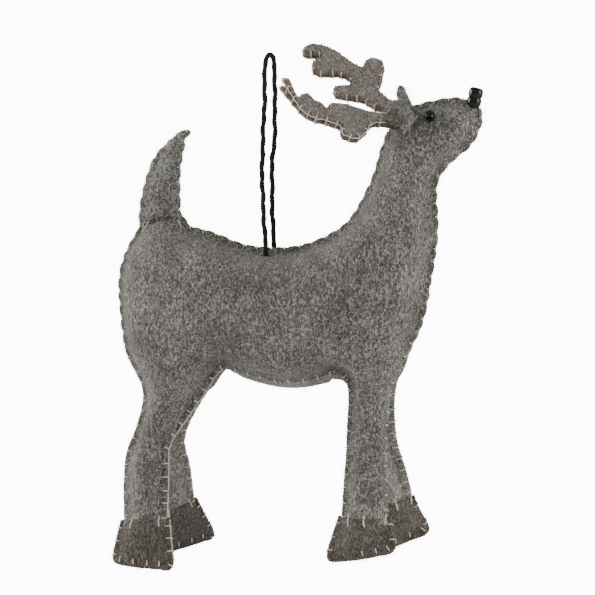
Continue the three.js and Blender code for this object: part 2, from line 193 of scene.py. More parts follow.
# felt, thread, cord and bead finishes: the noises that make the felt's tone, each with its share
fibreStretch = (1, 1, 0.5)
mottleSet = [
    (0.7, {"scale": 1.6, "detail": 1, "twist": 0.3}),
    (0.75, {"scale": 1.3, "detail": 2, "twist": 0.8, "stretch": fibreStretch, "turn": (0, 0.75, 0)}),
    (0.75, {"scale": 1.3, "detail": 2, "twist": 0.8, "stretch": fibreStretch, "turn": (0.2, -0.75, 0.3)}),
    (0.8, {"scale": 1.3, "detail": 2, "twist": 0.8, "stretch": fibreStretch, "turn": (0.1, 0, 0)}),
    (0.22, {"scale": 0.16, "detail": 2, "twist": 0.3}),
    (0.26, {"scale": 0.04, "detail": 2, "twist": 0}),
]
hueSet = {"noise": {"scale": 1.0, "detail": 2, "twist": 0.3, "stretch": fibreStretch}, "gain": 3.0,
          "cool": (0.94, 1.0, 1.06, 1), "warm": (1.05, 1.0, 0.92, 1)}
feltSet = {"rough": 0.95, "shine": 0.12, "sheenRough": 0.5, "sheenTint": (0.95, 0.93, 0.9, 1),
           "bumpDeep": 0.0005, "edgeBreak": {1: -1.6, 2: 0.75}}


def feltMottle():
    group, nodes, links, start, end = newGroup(
        "feltMottle", "ShaderNodeTree",
        {"Fibre Size": "Float", "Contrast": "Float", "Dark": "Color", "Mid": "Color", "Light": "Color"},
        {"Color": "Color", "Height": "Float"})
    where = nodes.new("ShaderNodeTexCoord")

    def work(operation, a, b):
        node = nodes.new("ShaderNodeMath")
        node.operation = operation
        for socket, value in zip(node.inputs, (a, b)):
            if isinstance(value, (int, float)):
                socket.default_value = value
            else:
                links.new(value, socket)
        return node.outputs[0]

    def noise(scale, detail, twist, stretch=(1, 1, 1), turn=(0, 0, 0)):
        node, mapping = addNodes(nodes, ("TexNoise", "Mapping"))
        setInputs(node, {"Detail": detail, "Roughness": 0.6, "Distortion": twist})
        setInputs(mapping, {"Scale": stretch, "Rotation": turn})
        join(links, (where, "Object", mapping, "Vector"), (mapping, "Vector", node, "Vector"))
        links.new(work("MULTIPLY", start.outputs["Fibre Size"], scale), node.inputs["Scale"])
        return work("SUBTRACT", node.outputs["Fac"], 0.5)

    parts = [work("MULTIPLY", noise(**look), share) for share, look in mottleSet]
    mixed = parts[0]
    for part in parts[1:]:
        mixed = work("ADD", mixed, part)
    tone = work("ADD", work("MULTIPLY", mixed, start.outputs["Contrast"]), 0.5)
    colour = start.outputs["Dark"]
    for low, high, key in ((0.0, 0.5, "Mid"), (0.5, 1.0, "Light")):
        ramp, mix = nodes.new("ShaderNodeMapRange"), colourMix(nodes)
        setInputs(ramp, {"From Min": low, "From Max": high})
        links.new(tone, ramp.inputs["Value"])
        links.new(colour, mix.inputs[6])
        join(links, (ramp, 0, mix, "Factor"), (start, key, mix, 7))
        colour = mix.outputs[2]
    warmth, warm = colourMix(nodes, hueSet["cool"], hueSet["warm"]), colourMix(nodes, blend="MULTIPLY")
    setInputs(warm, {"Factor": 1})
    hue = work("MULTIPLY", noise(**hueSet["noise"]), hueSet["gain"])
    links.new(work("ADD", hue, 0.5), warmth.inputs["Factor"])
    links.new(colour, warm.inputs[6])
    links.new(mixed, end.inputs["Height"])
    join(links, (warmth, 2, warm, 7), (warm, 2, end, "Color"))
    return group


mottle = feltMottle()


def linear(r, g, b):
    def one(v):
        v /= 255
        return v / 12.92 if v <= 0.04045 else ((v + 0.055) / 1.055) ** 2.4
    return (one(r), one(g), one(b), 1)


def feltMaterial(name, look):
    material, nodes, links, shader = newMaterial(name)
    fibres, edge, bump, broken, share = addNodes(nodes, ("Group", "Attribute", "Bump", "Math", "Math"))
    tint = colourMix(nodes, None, look["edge"] + (1,), "MULTIPLY")
    fibres.node_tree = mottle
    setInputs(fibres, {"Fibre Size": look["fibre"], "Contrast": look["contrast"]})
    setInputs(fibres, {key: linear(*look[key.lower()]) for key in ("Dark", "Mid", "Light")})
    # the edge attribute darkens by the look's edge colour: the brown edges of the felt along seams and cut
    # edges, and on the gusset also painted shade on the inner faces of the legs
    edge.attribute_name = "edge"
    broken.operation, share.operation, broken.use_clamp = "MULTIPLY_ADD", "MULTIPLY", True
    setInputs(broken, feltSet["edgeBreak"])
    setInputs(shader, {"Roughness": feltSet["rough"], "Specular IOR Level": feltSet["shine"],
                       "Sheen Weight": look["sheen"], "Sheen Roughness": feltSet["sheenRough"],
                       "Sheen Tint": feltSet["sheenTint"]})
    setInputs(bump, {"Strength": look["bump"], "Distance": feltSet["bumpDeep"]})
    join(links, (fibres, "Height", broken, 0), (edge, "Fac", share, 0), (broken, 0, share, 1),
         (share, 0, tint, "Factor"), (fibres, "Color", tint, 6), (tint, 2, shader, "Base Color"),
         (fibres, "Height", bump, "Height"), (bump, 0, shader, "Normal"))
    return material


greyLook = {
    "fibre": 1000, "contrast": 1.14, "dark": (34, 33, 28), "mid": (90, 87, 80), "light": (180, 178, 172),
    "edge": (0.62, 0.53, 0.42), "sheen": 0.2, "bump": 0.6}
greyFelt = feltMaterial("greyFelt", greyLook)
# painted light: the grey felt copied lighter for the tail, with a little more contrast
tailFeltWithPaintedLight = feltMaterial("tailFeltWithPaintedLight", {
    **greyLook, "contrast": 1.3, "mid": (97, 94, 87), "light": (194, 192, 186)})
# gusset felt: a paler felt, lightened further as painted light bounced up from below onto the belly; its
# edge colour also paints shade on the inner faces of the legs
gussetFeltWithPaintedUnderlight = feltMaterial("gussetFeltWithPaintedUnderlight", {
    "fibre": 1000, "contrast": 1.2, "dark": (58, 54, 49), "mid": (134, 128, 121), "light": (206, 201, 195),
    "edge": (0.56, 0.545, 0.52), "sheen": 0.2, "bump": 0.6})
hoofFelt = feltMaterial("hoofFelt", {
    "fibre": 900, "contrast": 1.1, "dark": (36, 32, 27), "mid": (79, 73, 66), "light": (134, 127, 119),
    "edge": (0.8, 0.68, 0.54), "sheen": 0.15, "bump": 0.5})
antlerFelt = feltMaterial("antlerFelt", {
    "fibre": 1100, "contrast": 1.15, "dark": (52, 46, 40), "mid": (114, 107, 101), "light": (178, 170, 163),
    "edge": (0.74, 0.6, 0.45), "sheen": 0.2, "bump": 0.6})


def plainMaterial(name, look):
    material, nodes, links, shader = newMaterial(name)
    where, speck, bump = addNodes(nodes, ("TexCoord", "TexNoise", "Bump"))
    mix = colourMix(nodes, linear(*look["dark"]), linear(*look["light"]))
    setInputs(speck, {"Scale": look["grain"], "Detail": 3})
    setInputs(shader, {"Roughness": look["rough"], "Specular IOR Level": look["shine"]})
    setInputs(bump, {"Strength": look["bump"], "Distance": 0.0001})
    join(links, (where, "Object", speck, "Vector"), (speck, "Fac", mix, "Factor"),
         (mix, 2, shader, "Base Color"), (speck, "Fac", bump, "Height"), (bump, 0, shader, "Normal"))
    return material


paleThread = plainMaterial("paleThread", {
    "grain": 4000, "dark": (186, 176, 164), "light": (238, 232, 224), "rough": 0.8, "shine": 0.2,
    "bump": 0.3})
blackCord = plainMaterial("blackCord", {
    "grain": 3500, "dark": (10, 10, 8), "light": (38, 37, 32), "rough": 0.8, "shine": 0.15, "bump": 0.5})
blackBead = plainMaterial("blackBead", {
    "grain": 600, "dark": (6, 6, 7), "light": (16, 16, 18), "rough": 0.08, "shine": 0.3, "bump": 0.02})
darkBead = plainMaterial("darkBead", {
    "grain": 600, "dark": (10, 7, 6), "light": (20, 14, 12), "rough": 0.08, "shine": 0.3, "bump": 0.02})
print("stage: finishes")


# lines, flat patterns and how stuffed felt swells between its seams
def smoothLine(knots, step, closed=False):
    knots = np.array(knots, float)
    count = len(knots)
    ring = knots if closed else np.vstack((2 * knots[0] - knots[1], knots, 2 * knots[-1] - knots[-2]))
    dense = []
    for i in range(count if closed else count - 1):
        four = [ring[(i + k - 1) % count] if closed else ring[i + k] for k in range(4)]
        t = [0.0]
        for a, b in zip(four, four[1:]):
            t.append(t[-1] + max(np.linalg.norm((b - a)[:3]), 1e-6) ** 0.5)
        s = np.linspace(t[1], t[2], 24, endpoint=False)[:, None]

        def mix(p, q, low, high):
            return ((t[high] - s) * p + (s - t[low]) * q) / (t[high] - t[low])

        first, second, third = (mix(four[m], four[m + 1], m, m + 1) for m in range(3))
        dense.append(mix(mix(first, second, 0, 2), mix(second, third, 1, 3), 1, 2))
    dense = np.vstack(dense + [knots[:1] if closed else knots[-1:]])
    arc = arcOf(dense[:, :3])
    at = np.linspace(0, arc[-1], max(4, round(arc[-1] / step)) + 1)
    at = at[:-1] if closed else at
    return np.column_stack([np.interp(at, arc, column) for column in dense.T])


def arcOf(line):
    return np.concatenate(([0], np.cumsum(np.linalg.norm(np.diff(line, axis=0), axis=1))))


def turnFrames(line):
    tangent = unit(np.gradient(line, axis=0))
    side = np.zeros_like(line)
    side[0] = unit(np.cross(tangent[0], (0.31, 0.87, 0.38)))
    for i in range(1, len(line)):
        side[i] = unit(side[i - 1] - tangent[i] * (side[i - 1] @ tangent[i]))
    return side, np.cross(tangent, side)


def nearestOn(points, line, closed):
    ends = np.roll(line, -1, 0) if closed else line[1:]
    starts = line if closed else line[:-1]
    run = ends - starts
    size = np.maximum((run ** 2).sum(1), 1e-12)
    best, where, share = [], [], []
    for chunk in np.array_split(points, max(1, len(points) // 1500)):
        gap = chunk[:, None] - starts[None]
        f = np.clip((gap * run).sum(2) / size, 0, 1)
        d = np.linalg.norm(gap - f[..., None] * run, axis=2)
        k = d.argmin(1)
        rows = np.arange(len(chunk))
        best.append(d[rows, k])
        where.append(k)
        share.append(f[rows, k])
    return np.concatenate(best), np.concatenate(where), np.concatenate(share)


def inside(points, loop):
    x, y = points[:, 0][:, None], points[:, 1][:, None]
    a, b = loop, np.roll(loop, -1, 0)
    cross = (a[:, 1] > y) != (b[:, 1] > y)
    rise = np.where(np.abs(b[:, 1] - a[:, 1]) < 1e-12, 1e-12, b[:, 1] - a[:, 1])
    at = a[:, 0] + (y - a[:, 1]) / rise * (b[:, 0] - a[:, 0])
    return (cross & (x < at)).sum(1) % 2 == 1


def twiceArea(loop):
    after = np.roll(loop, -1, 0)
    return np.sum(loop[:, 0] * after[:, 1] - after[:, 0] * loop[:, 1])


def outwardOf(loop):
    along = unit(np.roll(loop, -1, 0) - np.roll(loop, 1, 0))
    return np.column_stack((along[:, 1], -along[:, 0])) * np.sign(twiceArea(loop))


def flatPattern(loop, rows, grid):
    outward = outwardOf(loop)
    points = [loop]
    for i, row in enumerate(rows):
        line = (loop - outward * row)[:: 1 if i < 3 else 2]
        keep = inside(line, loop) & (nearestOn(line, loop, True)[0] > row * 0.9)
        points.append(line[keep])
    low, high = loop.min(0), loop.max(0)
    lift = grid * math.sqrt(3) / 2
    cells = np.array([(low[0] + (c + 0.5 * (r % 2)) * grid, low[1] + r * lift)
                      for r in range(int((high[1] - low[1]) / lift) + 1)
                      for c in range(int((high[0] - low[0]) / grid) + 2)])
    cells = cells[inside(cells, loop)]
    cells = cells[nearestOn(cells, loop, True)[0] > rows[-1] + 0.55 * grid]
    count = len(loop)
    edges = [(i, (i + 1) % count) for i in range(count)]
    found = delaunay_2d_cdt([Vector(p) for p in np.vstack(points + [cells])], edges, [], 1, 1e-5)
    flat = np.array([tuple(p) for p in found[0]])
    faces = np.array([tuple(f) for f in found[2]])
    rim = np.full(len(flat), -1)
    for i, sources in enumerate(found[3]):
        for source in sources:
            if source < count:
                rim[i] = source
    a, b = flat[faces[:, 1]] - flat[faces[:, 0]], flat[faces[:, 2]] - flat[faces[:, 0]]
    turned = a[:, 0] * b[:, 1] - a[:, 1] * b[:, 0] < 0
    faces[turned] = faces[turned][:, ::-1]
    return flat, faces, rim


def stiffness(flat, faces):
    i, j, w = [], [], []
    mass = np.zeros(len(flat))
    for k in range(3):
        a, b, c = faces[:, k], faces[:, (k + 1) % 3], faces[:, (k + 2) % 3]
        u, v = flat[a] - flat[c], flat[b] - flat[c]
        double = np.abs(u[:, 0] * v[:, 1] - u[:, 1] * v[:, 0])
        cot = np.clip((u * v).sum(1) / np.maximum(double, 1e-9), -2, 20) / 2
        i += [a, b]
        j += [b, a]
        w += [cot, cot]
        np.add.at(mass, a, double / 6)
    return np.concatenate(i), np.concatenate(j), np.concatenate(w), mass


def relax(net, load, fixed, values):
    i, j, w, mass = net
    count = len(mass)
    diagonal = np.bincount(i, w, count)
    free = ~fixed
    x = np.where(fixed, values, 0.0)

    def apply(v):
        return np.where(free, diagonal * v - np.bincount(i, w * v[j], count), 0)

    r = np.where(free, load, 0) - apply(x)
    z = r / np.maximum(diagonal, 1e-9)
    p = z.copy()
    rz = r @ z
    for _ in range(1500):
        q = apply(p)
        step = rz / max(p @ q, 1e-30)
        x += step * p
        r -= step * q
        z = r / np.maximum(diagonal, 1e-9)
        fresh = r @ z
        if fresh < 1e-10:
            break
        p = z + fresh / rz * p
        rz = fresh
    return x


def swellOf(net, fixed, fullness):
    swell = np.sqrt(2 * np.maximum(relax(net, net[3], fixed, np.zeros(len(fixed))), 0))
    return swell / np.sqrt(1 + (swell / fullness) ** 2)


# hanging loop: two strands that turn round each other, from the right flank over the hook to the left;
# heights here are from the hook
cordSet = {"diameter": 1.9, "strand": 0.92, "apart": 0.17, "twist": 9, "sides": 20, "step": 0.32,
           "kink": 0.3, "wave": (7.5, 19), "freeTop": (-2, -8), "freeLow": (-76, -66)}
cordRoute = [
    (-0.5, -4.6, -79.4), (-0.8, -4.7, -73.0), (-1.3, -4.8, -65.0), (-2.0, -4.7, -52.0),
    (-2.0, -4.4, -37.0), (-1.4, -4.1, -22.0), (-1.2, -3.8, -10.0), (-1.1, -3.4, -3.4), (-0.8, -2.3, -0.3),
    (0.0, 0.0, 0.9), (0.7, 2.3, -0.3), (0.9, 3.4, -3.4), (0.9, 3.8, -14.0), (0.9, 4.2, -30.0),
    (-0.2, 4.5, -42.0), (-0.4, 4.7, -56.0), (0.0, 4.8, -69.0), (0.5, 4.6, -79.4),
]


def cordShape():
    line = smoothLine(cordRoute, cordSet["step"])
    arc = arcOf(line)
    free = ease(*cordSet["freeTop"], line[:, 2]) * ease(*cordSet["freeLow"], line[:, 2])
    for wave in cordSet["wave"]:
        line[:, 0] += cordSet["kink"] * free * np.sin(2 * math.pi * arc / wave) / 2
    side, up = turnFrames(line)
    angle = np.linspace(0, 2 * math.pi, cordSet["sides"], endpoint=False)
    spread = angle[None] - 2 * math.pi * arcOf(line)[:, None] / cordSet["twist"]
    apart, strand = cordSet["apart"], cordSet["strand"]
    radius = apart * np.abs(np.cos(spread)) + np.sqrt(strand ** 2 - (apart * np.sin(spread)) ** 2)
    rings = line[:, None] + (radius * np.cos(angle))[..., None] * side[:, None]
    rings = rings + (radius * np.sin(angle))[..., None] * up[:, None]
    count, sides = len(line), cordSet["sides"]
    points = np.vstack((rings.reshape(-1, 3), line[:1], line[-1:]))
    faces = []
    for r in range(count - 1):
        for i in range(sides):
            n = (i + 1) % sides
            faces.append((r * sides + i, r * sides + n, (r + 1) * sides + n, (r + 1) * sides + i))
    first, last, top = count * sides, count * sides + 1, (count - 1) * sides
    for i in range(sides):
        n = (i + 1) % sides
        faces += [(first, n, i), (last, top + i, top + n)]
    return line, points, faces


cordLine, cordPoints, cordFaces = cordShape()
cordLoop = meshObject("cord_loop", cordPoints / 1000, cordFaces, blackCord)
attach(cordLoop, "loop")
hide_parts("hanging_loop")
print("stage: hanging loop", round(float(arcOf(cordLine)[-1])), "mm")


# sewn seams: a lip of two felt edges, pinched at every stitch
seamSet = {"step": 0.9, "spacing": 5.8, "jitter": 0.5, "pinch": 0.6, "pinchReach": 1.2, "pucker": 4.5,
           "puckerIn": 0.8, "blend": (2.4, 6.4), "depth": (0, 0.7, 1.3, 2.2, 3.0, 3.8, 7.0),
           "out": (0.45, 0.36, -0.05, -0.9, -1.65, -2.3, -5.2),
           "aside": (0, 0.85, 1.4, 1.65, 1.6, 1.9, 5.2), "rows": (0.7, 1.3, 2.2, 3.0, 4.0, 5.2),
           "endSize": 0.45, "endReach": 5, "rollHide": 0.8, "rollRange": (30, 75),
           "plainDepth": (0.2, 1.5), "bandTint": 0.38, "band": (1.8, 3.6), "lineTint": 0.4,
           "line": (0.2, 1.0), "plainTint": 0.75}
rollSet = {"profile": ((0.3, 0.15), (0.42, 0.6), (0.36, 1.2), (-0.2, 1.6), (-3.0, 1.6)), "tint": 0.7,
           "deep": 1.6, "least": 0.1, "cutTint": 0.9, "cut": (0.1, 0.9)}


def mixRows(arrays, k, f):
    after = (k + 1) % len(arrays[0])
    return [a[k] * (1 - f)[:, None] + a[after] * f[:, None] for a in arrays]


class Seam:
    def __init__(self, line, closed, seed, pinch=seamSet["pinch"]):
        step = np.roll(line, -1, 0) - np.roll(line, 1, 0) if closed else np.gradient(line, axis=0)
        run, flat = unit(step[:, :3]), unit(step[:, [0, 2]])
        outward = np.column_stack((flat[:, 1], -flat[:, 0])) * np.sign(twiceArea(line[:, [0, 2]]))
        roll = np.radians(line[:, 3])
        self.shown = 1 - seamSet["rollHide"] * ease(*seamSet["rollRange"], np.abs(line[:, 3]))
        ridge = np.column_stack((outward[:, 0] * np.cos(roll), np.sin(roll), outward[:, 1] * np.cos(roll)))
        self.line, self.closed = line[:, :3], closed
        self.pinch = np.full(len(line), pinch)
        self.plain = np.zeros(len(line))
        self.ridge = unit(ridge - run * (ridge * run).sum(1)[:, None])
        aside = np.cross(run, self.ridge)
        self.aside = aside * np.sign(aside[:, 1] + 1e-9)[:, None]
        self.arc = arcOf(np.vstack((self.line, self.line[:1])) if closed else self.line)
        rng = np.random.default_rng(seed)
        count = max(2, round(self.arc[-1] / seamSet["spacing"]))
        at = (np.arange(count) + 0.5) * self.arc[-1] / count
        self.stitches = at + rng.uniform(-1, 1, count) * seamSet["jitter"]

    def sample(self, k, f):
        mixed = mixRows((self.line, self.ridge, self.aside), k, f)
        return *mixed, self.arc[k] + f * (self.arc[k + 1] - self.arc[k])

    def pull(self, arc):
        gap = np.abs(arc[:, None] - self.stitches[None]).min(1)
        return np.exp(-(gap / seamSet["pinchReach"]) ** 2)

    def size(self, arc):
        if self.closed:
            return np.ones(len(arc))
        least, reach = seamSet["endSize"], seamSet["endReach"]
        return least + (1 - least) * ease(0, reach, np.minimum(arc, self.arc[-1] - arc))

    def at(self, arc):
        k = int(np.clip(np.searchsorted(self.arc, arc) - 1, 0, len(self.arc) - 2))
        f = np.array([(arc - self.arc[k]) / max(self.arc[k + 1] - self.arc[k], 1e-9)])
        point, ridge, aside, _ = self.sample(np.array([k]), f)
        return point[0], unit(ridge[0]), unit(aside[0])


def lip(seam, depth, arc):
    pinch = np.interp(arc, seam.arc[:len(seam.pinch)], seam.pinch)
    held = pinch * seam.pull(arc) * ease(seamSet["pucker"], 0, depth)
    out = np.interp(depth, seamSet["depth"], seamSet["out"]) - held
    aside = np.interp(depth, seamSet["depth"], seamSet["aside"])
    return out, aside * (1 - seamSet["puckerIn"] * held) * seam.size(arc)


def sewnEdge(seam, point, ridge, aside, depth, arc, full):
    out, over = lip(seam, depth, arc)
    edge = point + ridge * out[:, None] + aside * over[:, None]
    plain = np.interp(arc, seam.arc[:len(seam.plain)], seam.plain) * ease(*seamSet["plainDepth"], depth)
    mix = np.maximum(ease(*seamSet["blend"], depth), plain)[:, None]
    return edge * (1 - mix) + full * mix


def edgeTint(seam, depth, arc):
    shown = np.interp(arc, seam.arc[:len(seam.shown)], seam.shown * (1 - seamSet["plainTint"] * seam.plain))
    band = seamSet["bandTint"] * (1 - ease(*seamSet["band"], depth))
    return shown * (band + seamSet["lineTint"] * (1 - ease(*seamSet["line"], depth)))


def sewnPanel(line, seam, look, sign=1, free=None):
    closed = free is None
    rimLine = line[:, :3] if closed else np.vstack((line[:, :3], free[1:-1]))
    flat, faces, rim = flatPattern(rimLine[:, [0, 2]], seamSet["rows"], look["grid"])
    depth, k, f = nearestOn(flat, line[:, [0, 2]], closed)
    net = stiffness(flat, faces)
    fixed = rim >= 0
    level = relax(net, np.zeros(len(flat)), fixed, np.where(fixed, rimLine[rim, 1], 0))
    height = swellOf(net, fixed, look["round"]) * look["gain"] * (1 - np.exp(-depth / look["soft"]))
    full = np.column_stack((flat[:, 0], level + sign * height, flat[:, 1]))
    point, ridge, aside, arc = seam.sample(k, f)
    points = sewnEdge(seam, point, ridge, sign * aside, depth, arc, full)
    tint = edgeTint(seam, depth, arc)
    if closed:
        return points, faces, tint
    cut = nearestOn(flat, free[:, [0, 2]], False)[0]
    tint = np.maximum(tint, rollSet["cutTint"] * (1 - ease(*rollSet["cut"], cut)))
    spots = np.zeros(len(rimLine), int)
    spots[rim[fixed]] = np.nonzero(fixed)[0]
    spots = spots[np.r_[len(line) - 1:len(rimLine), 0]]
    room = np.abs(points[spots, 1] - look["middle"](points[spots, 2])) / rollSet["deep"]
    room = np.clip(room, rollSet["least"], 1)
    return rolledEdge(points, faces, tint, spots, np.array(look["beyond"]), room[:, None] * (0, -sign, 0))


def rolledEdge(points, faces, tint, spots, beyond, inward):
    base, before = points[spots], spots
    for over, under in rollSet["profile"]:
        fresh = len(points) + np.arange(len(spots))
        points = np.vstack((points, base + beyond * over + inward * under))
        tint = np.concatenate((tint, np.full(len(spots), rollSet["tint"])))
        faces = np.vstack((faces, np.column_stack((before[1:], before[:-1], fresh[:-1])),
                           np.column_stack((before[1:], fresh[:-1], fresh[1:]))))
        before = fresh
    return points, faces, tint


# how the left legs stand: a little lower than the right ones, toes turned out and up;
# the ranges are the heights and reaches over which each move fades in
stanceSet = {
    "front": {"ankle": (44.5, 20), "shift": 1.0, "calf": 0.8, "toe": 2.4, "twist": 25, "pitch": 4,
              "drop": 4.8, "dropRange": (27, 8), "thigh": 0.5},
    "rear": {"ankle": (-46.5, 17), "shift": -0.5, "calf": 0.5, "toe": 0, "twist": 30, "pitch": 7,
             "drop": 2.8, "dropRange": (38, 17), "thigh": -0.7},
}
stanceRange = {"ahead": (8, 20), "left": (0.3, 2.5), "twist": (44, 18), "pitch": (36, 16),
               "shift": (62, 32), "thighTop": (85, 78), "thighLow": (46, 60), "calfTop": (56, 44),
               "calfLow": (17, 27), "toeAhead": (2, 12), "toeTop": (24, 11)}
legSet = {"crotch": 2.6, "ground": 29.5, "slope": 0.42, "softness": 6}


def legOut(z):
    a, low = legSet["ground"] - legSet["slope"] * z, legSet["crotch"]
    return 0.5 * (a + low + np.sqrt((a - low) ** 2 + legSet["softness"]))


def stance(points):
    points = np.array(points, float)
    lean = math.atan(legSet["slope"])
    down = np.array((0, math.sin(lean), -math.cos(lean)))
    across = np.array((0, math.cos(lean), math.sin(lean)))
    for look in stanceSet.values():
        x, foot = look["ankle"]
        ankle = np.array((x, legOut(foot), foot))
        z = points[:, 2]

        def share(key, value=z):
            return ease(*stanceRange[key], value)

        on = share("ahead", points[:, 0] * np.sign(x)) * share("left", points[:, 1])
        gap = points - ankle
        turn = np.radians(look["twist"]) * on * share("twist")
        along, ahead, out = gap @ down, gap[:, 0], gap @ across
        ahead, out = ahead * np.cos(turn) - out * np.sin(turn), ahead * np.sin(turn) + out * np.cos(turn)
        gap = along[:, None] * down + out[:, None] * across
        tip = np.radians(look["pitch"]) * on * share("pitch")
        gap[:, 0], gap[:, 2] = (ahead * np.cos(tip) - gap[:, 2] * np.sin(tip),
                                ahead * np.sin(tip) + gap[:, 2] * np.cos(tip))
        thigh = look["thigh"] * share("thighTop") * share("thighLow")
        gap[:, 0] += on * (look["shift"] * share("shift") + thigh)
        gap[:, 0] += on * look["calf"] * share("calfTop") * share("calfLow")
        gap[:, 0] += on * look["toe"] * share("toeAhead", ahead) * share("toeTop")
        gap[:, 2] -= look["drop"] * on * ease(*look["dropRange"], z)
        points = ankle + gap
    return points


def feltPiece(name, points, faces, tint, side, sign, material):
    faces = faces[:, ::-1] if side * sign > 0 else faces
    piece = meshObject(name, toFrame(stance(points * (1, side, 1))), faces, material)
    giveValue(piece, "edge", tint)
    return piece


def merged(shapes):
    bases = np.cumsum([0] + [len(points) for points, _ in shapes])
    faces = [rows + base for (_, rows), base in zip(shapes, bases)]
    return np.vstack([points for points, _ in shapes]), np.vstack(faces)


def treeOf(*shapes):
    points, faces = merged([(shape[0] * (1, side, 1), shape[1]) for shape, side in shapes])
    return BVHTree.FromPolygons(points.tolist(), faces.tolist())


# side panels: back seam from the rump over the head to the chest, then round both legs; each knot is
# x and height, then how far out it lies and how far the seam rolls, where these are not nought
flankSet = {"grid": 1.5, "round": 22.0, "soft": 3.4, "gain": 1.07, "fill": 0.8, "plainFrom": (-20, -13),
            "plainTo": (30, 22), "plainTop": 82, "shin": 0.35, "shinAhead": (42, 47), "shinTop": (86, 76),
            "shinLow": (14, 20), "legPinch": 0.3, "legRise": (92, 80), "headEdge": 0.45,
            "headRise": (170, 182), "hoofTop": {1: 21.5, -1: 16.5}, "tuck": 0.35, "tuckOver": 5}
flankKnots = [
    (-61.8, 89), (-63.1, 100.1), (-63.6, 112.4), (-61.7, 121.8), (-58.1, 129.2), (-54.4, 134.6),
    (-50, 138.4), (-44, 140.3), (-38.5, 138.8), (-33.5, 135.5), (-24.3, 133.1), (-11.3, 128.5),
    (-1.7, 127.4), (10.7, 128.1), (22.9, 132.4), (31.9, 138.4), (37.9, 147.5), (42.2, 156.5),
    (45.3, 166.6), (48.1, 174.2), (51.5, 180.7), (58.5, 184.8), (67.7, 187.2), (75.4, 188.3), (81, 187.3),
    (84.8, 185), (86.2, 181.4), (85.3, 176.2), (81.7, 169.6), (75.8, 164.5), (70.9, 159.4), (68.5, 154.8),
    (68, 149), (68.6, 141.5), (68.3, 130.8), (66.0, 115.5), (64, 104), (61.6, 95.9, 0.6),
    (58.4, 89.9, 1.5, -15), (55.7, 84.9, 2.3, -40), (53.7, 80, 2.8, -60), (50.9, 74.5, 2.9, -75),
    (49.4, 63.7, 3.9, -75), (49.3, 54.9, 6.8, -75), (49.1, 46.5, 10.2, -75), (50.2, 40, 12.9, -75),
    (51.1, 33.3, 15.6, -75), (52.4, 25.1, 19, -70), (53.2, 18, 21.9, -40), (52.2, 14.2, 23.5),
    (37, 11.8, 24.5), (35.2, 14.4, 23.4), (34.7, 25.9, 18.7), (34.4, 36, 14.5), (34.3, 45.9, 10.4),
    (33.8, 55, 6.9), (33.6, 63.1, 4), (33.4, 70.8, 3.1, 5), (32.2, 75, 3, 15), (30, 77.3, 3.2, 25),
    (26.6, 77.5, 3.8, 30), (22.8, 76.9, 4.8, 32), (17.6, 75.2, 6, 32), (10.8, 74.3, 7, 32),
    (2, 74.7, 6.4, 32), (-6, 76.4, 5.2, 30), (-13.7, 77.9, 4, 25), (-19.2, 78.2, 3.1, 15),
    (-22.5, 75.3, 3, 5), (-26.1, 69.6, 3.2), (-32.3, 60.2, 5.1), (-39, 49.2, 9.3), (-40.2, 44.8, 11),
    (-39.4, 37, 14), (-38.7, 28.7, 17.5), (-38, 19.2, 21.5), (-37.9, 12, 24.5), (-39.3, 7, 26.6),
    (-53, 5.8, 27.1), (-54.6, 8.6, 25.9), (-54.9, 17.7, 22.1), (-56.6, 30.7, 16.7), (-57, 43.7, 11.3),
    (-54.3, 52.8, 7.6), (-52.3, 63.4, 4), (-52.9, 70, 3), (-56.4, 76.6, 2.3), (-60, 83, 1.2),
]
chestEnd = (64, 104)

fullKnots = [(knot + (0, 0))[:4] for knot in flankKnots]
flankLine = smoothLine([(x, out, z, roll) for x, z, out, roll in fullKnots], seamSet["step"], True)
flankSeam = Seam(flankLine, True, 11)
chestIndex = int(np.argmin(np.linalg.norm(flankLine[:, [0, 2]] - chestEnd, axis=1)))
flankSeam.plain = ease(*flankSet["plainFrom"], flankLine[:, 0])
flankSeam.plain *= ease(*flankSet["plainTo"], flankLine[:, 0])
flankSeam.plain *= flankLine[:, 2] < flankSet["plainTop"]
shin = ease(*flankSet["shinAhead"], flankLine[:, 0]) * ease(*flankSet["shinTop"], flankLine[:, 2])
shin = shin * ease(*flankSet["shinLow"], flankLine[:, 2])
flankSeam.plain = np.maximum(flankSeam.plain, flankSet["shin"] * shin)
flankSeam.shown *= 1 - flankSet["headEdge"] * ease(*flankSet["headRise"], flankLine[:, 2])
flankSeam.pinch *= 1 - (1 - flankSet["legPinch"]) * ease(*flankSet["legRise"], flankLine[:, 2])


def tucked(points, faces, tint):
    points = points.copy()
    side, z = np.sign(points[:, 1]), points[:, 2]
    for end, top in flankSet["hoofTop"].items():
        share = flankSet["tuck"] * ((points[:, 0] * end > 0) * ease(top, top - flankSet["tuckOver"], z))
        points[:, 1] -= side * share * (np.abs(points[:, 1]) - legOut(z))
    return points, faces, tint


flankShape = tucked(*sewnPanel(flankLine, flankSeam, flankSet))
for side, name in bothSides:
    flank = feltPiece(f"{name}_flank_felt", *flankShape, side, 1, greyFelt)
    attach(flank, "reindeer")
    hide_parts(f"{name}_side_panel", f"{name}_front_leg_stuffing", f"{name}_rear_leg_stuffing")
    if side < 0:
        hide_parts("torso_stuffing", "neck_stuffing", "head_stuffing", "loop_knot")
print("stage: side panels", len(flankShape[0]), "points")


# belly gusset: the underside and the inner faces of the legs
# legShade is painted shade on the inner faces of the legs, fading in between the heights in shadeRise
gussetSet = {"grid": 1.7, "fold": 80, "bellyShare": 0.5, "legTop": 60, "bellyLow": 73, "apart": 0.4,
             "fill": 0.8, "legShade": 0.75, "shadeRise": (72, 62), "legRange": (6, 14)}


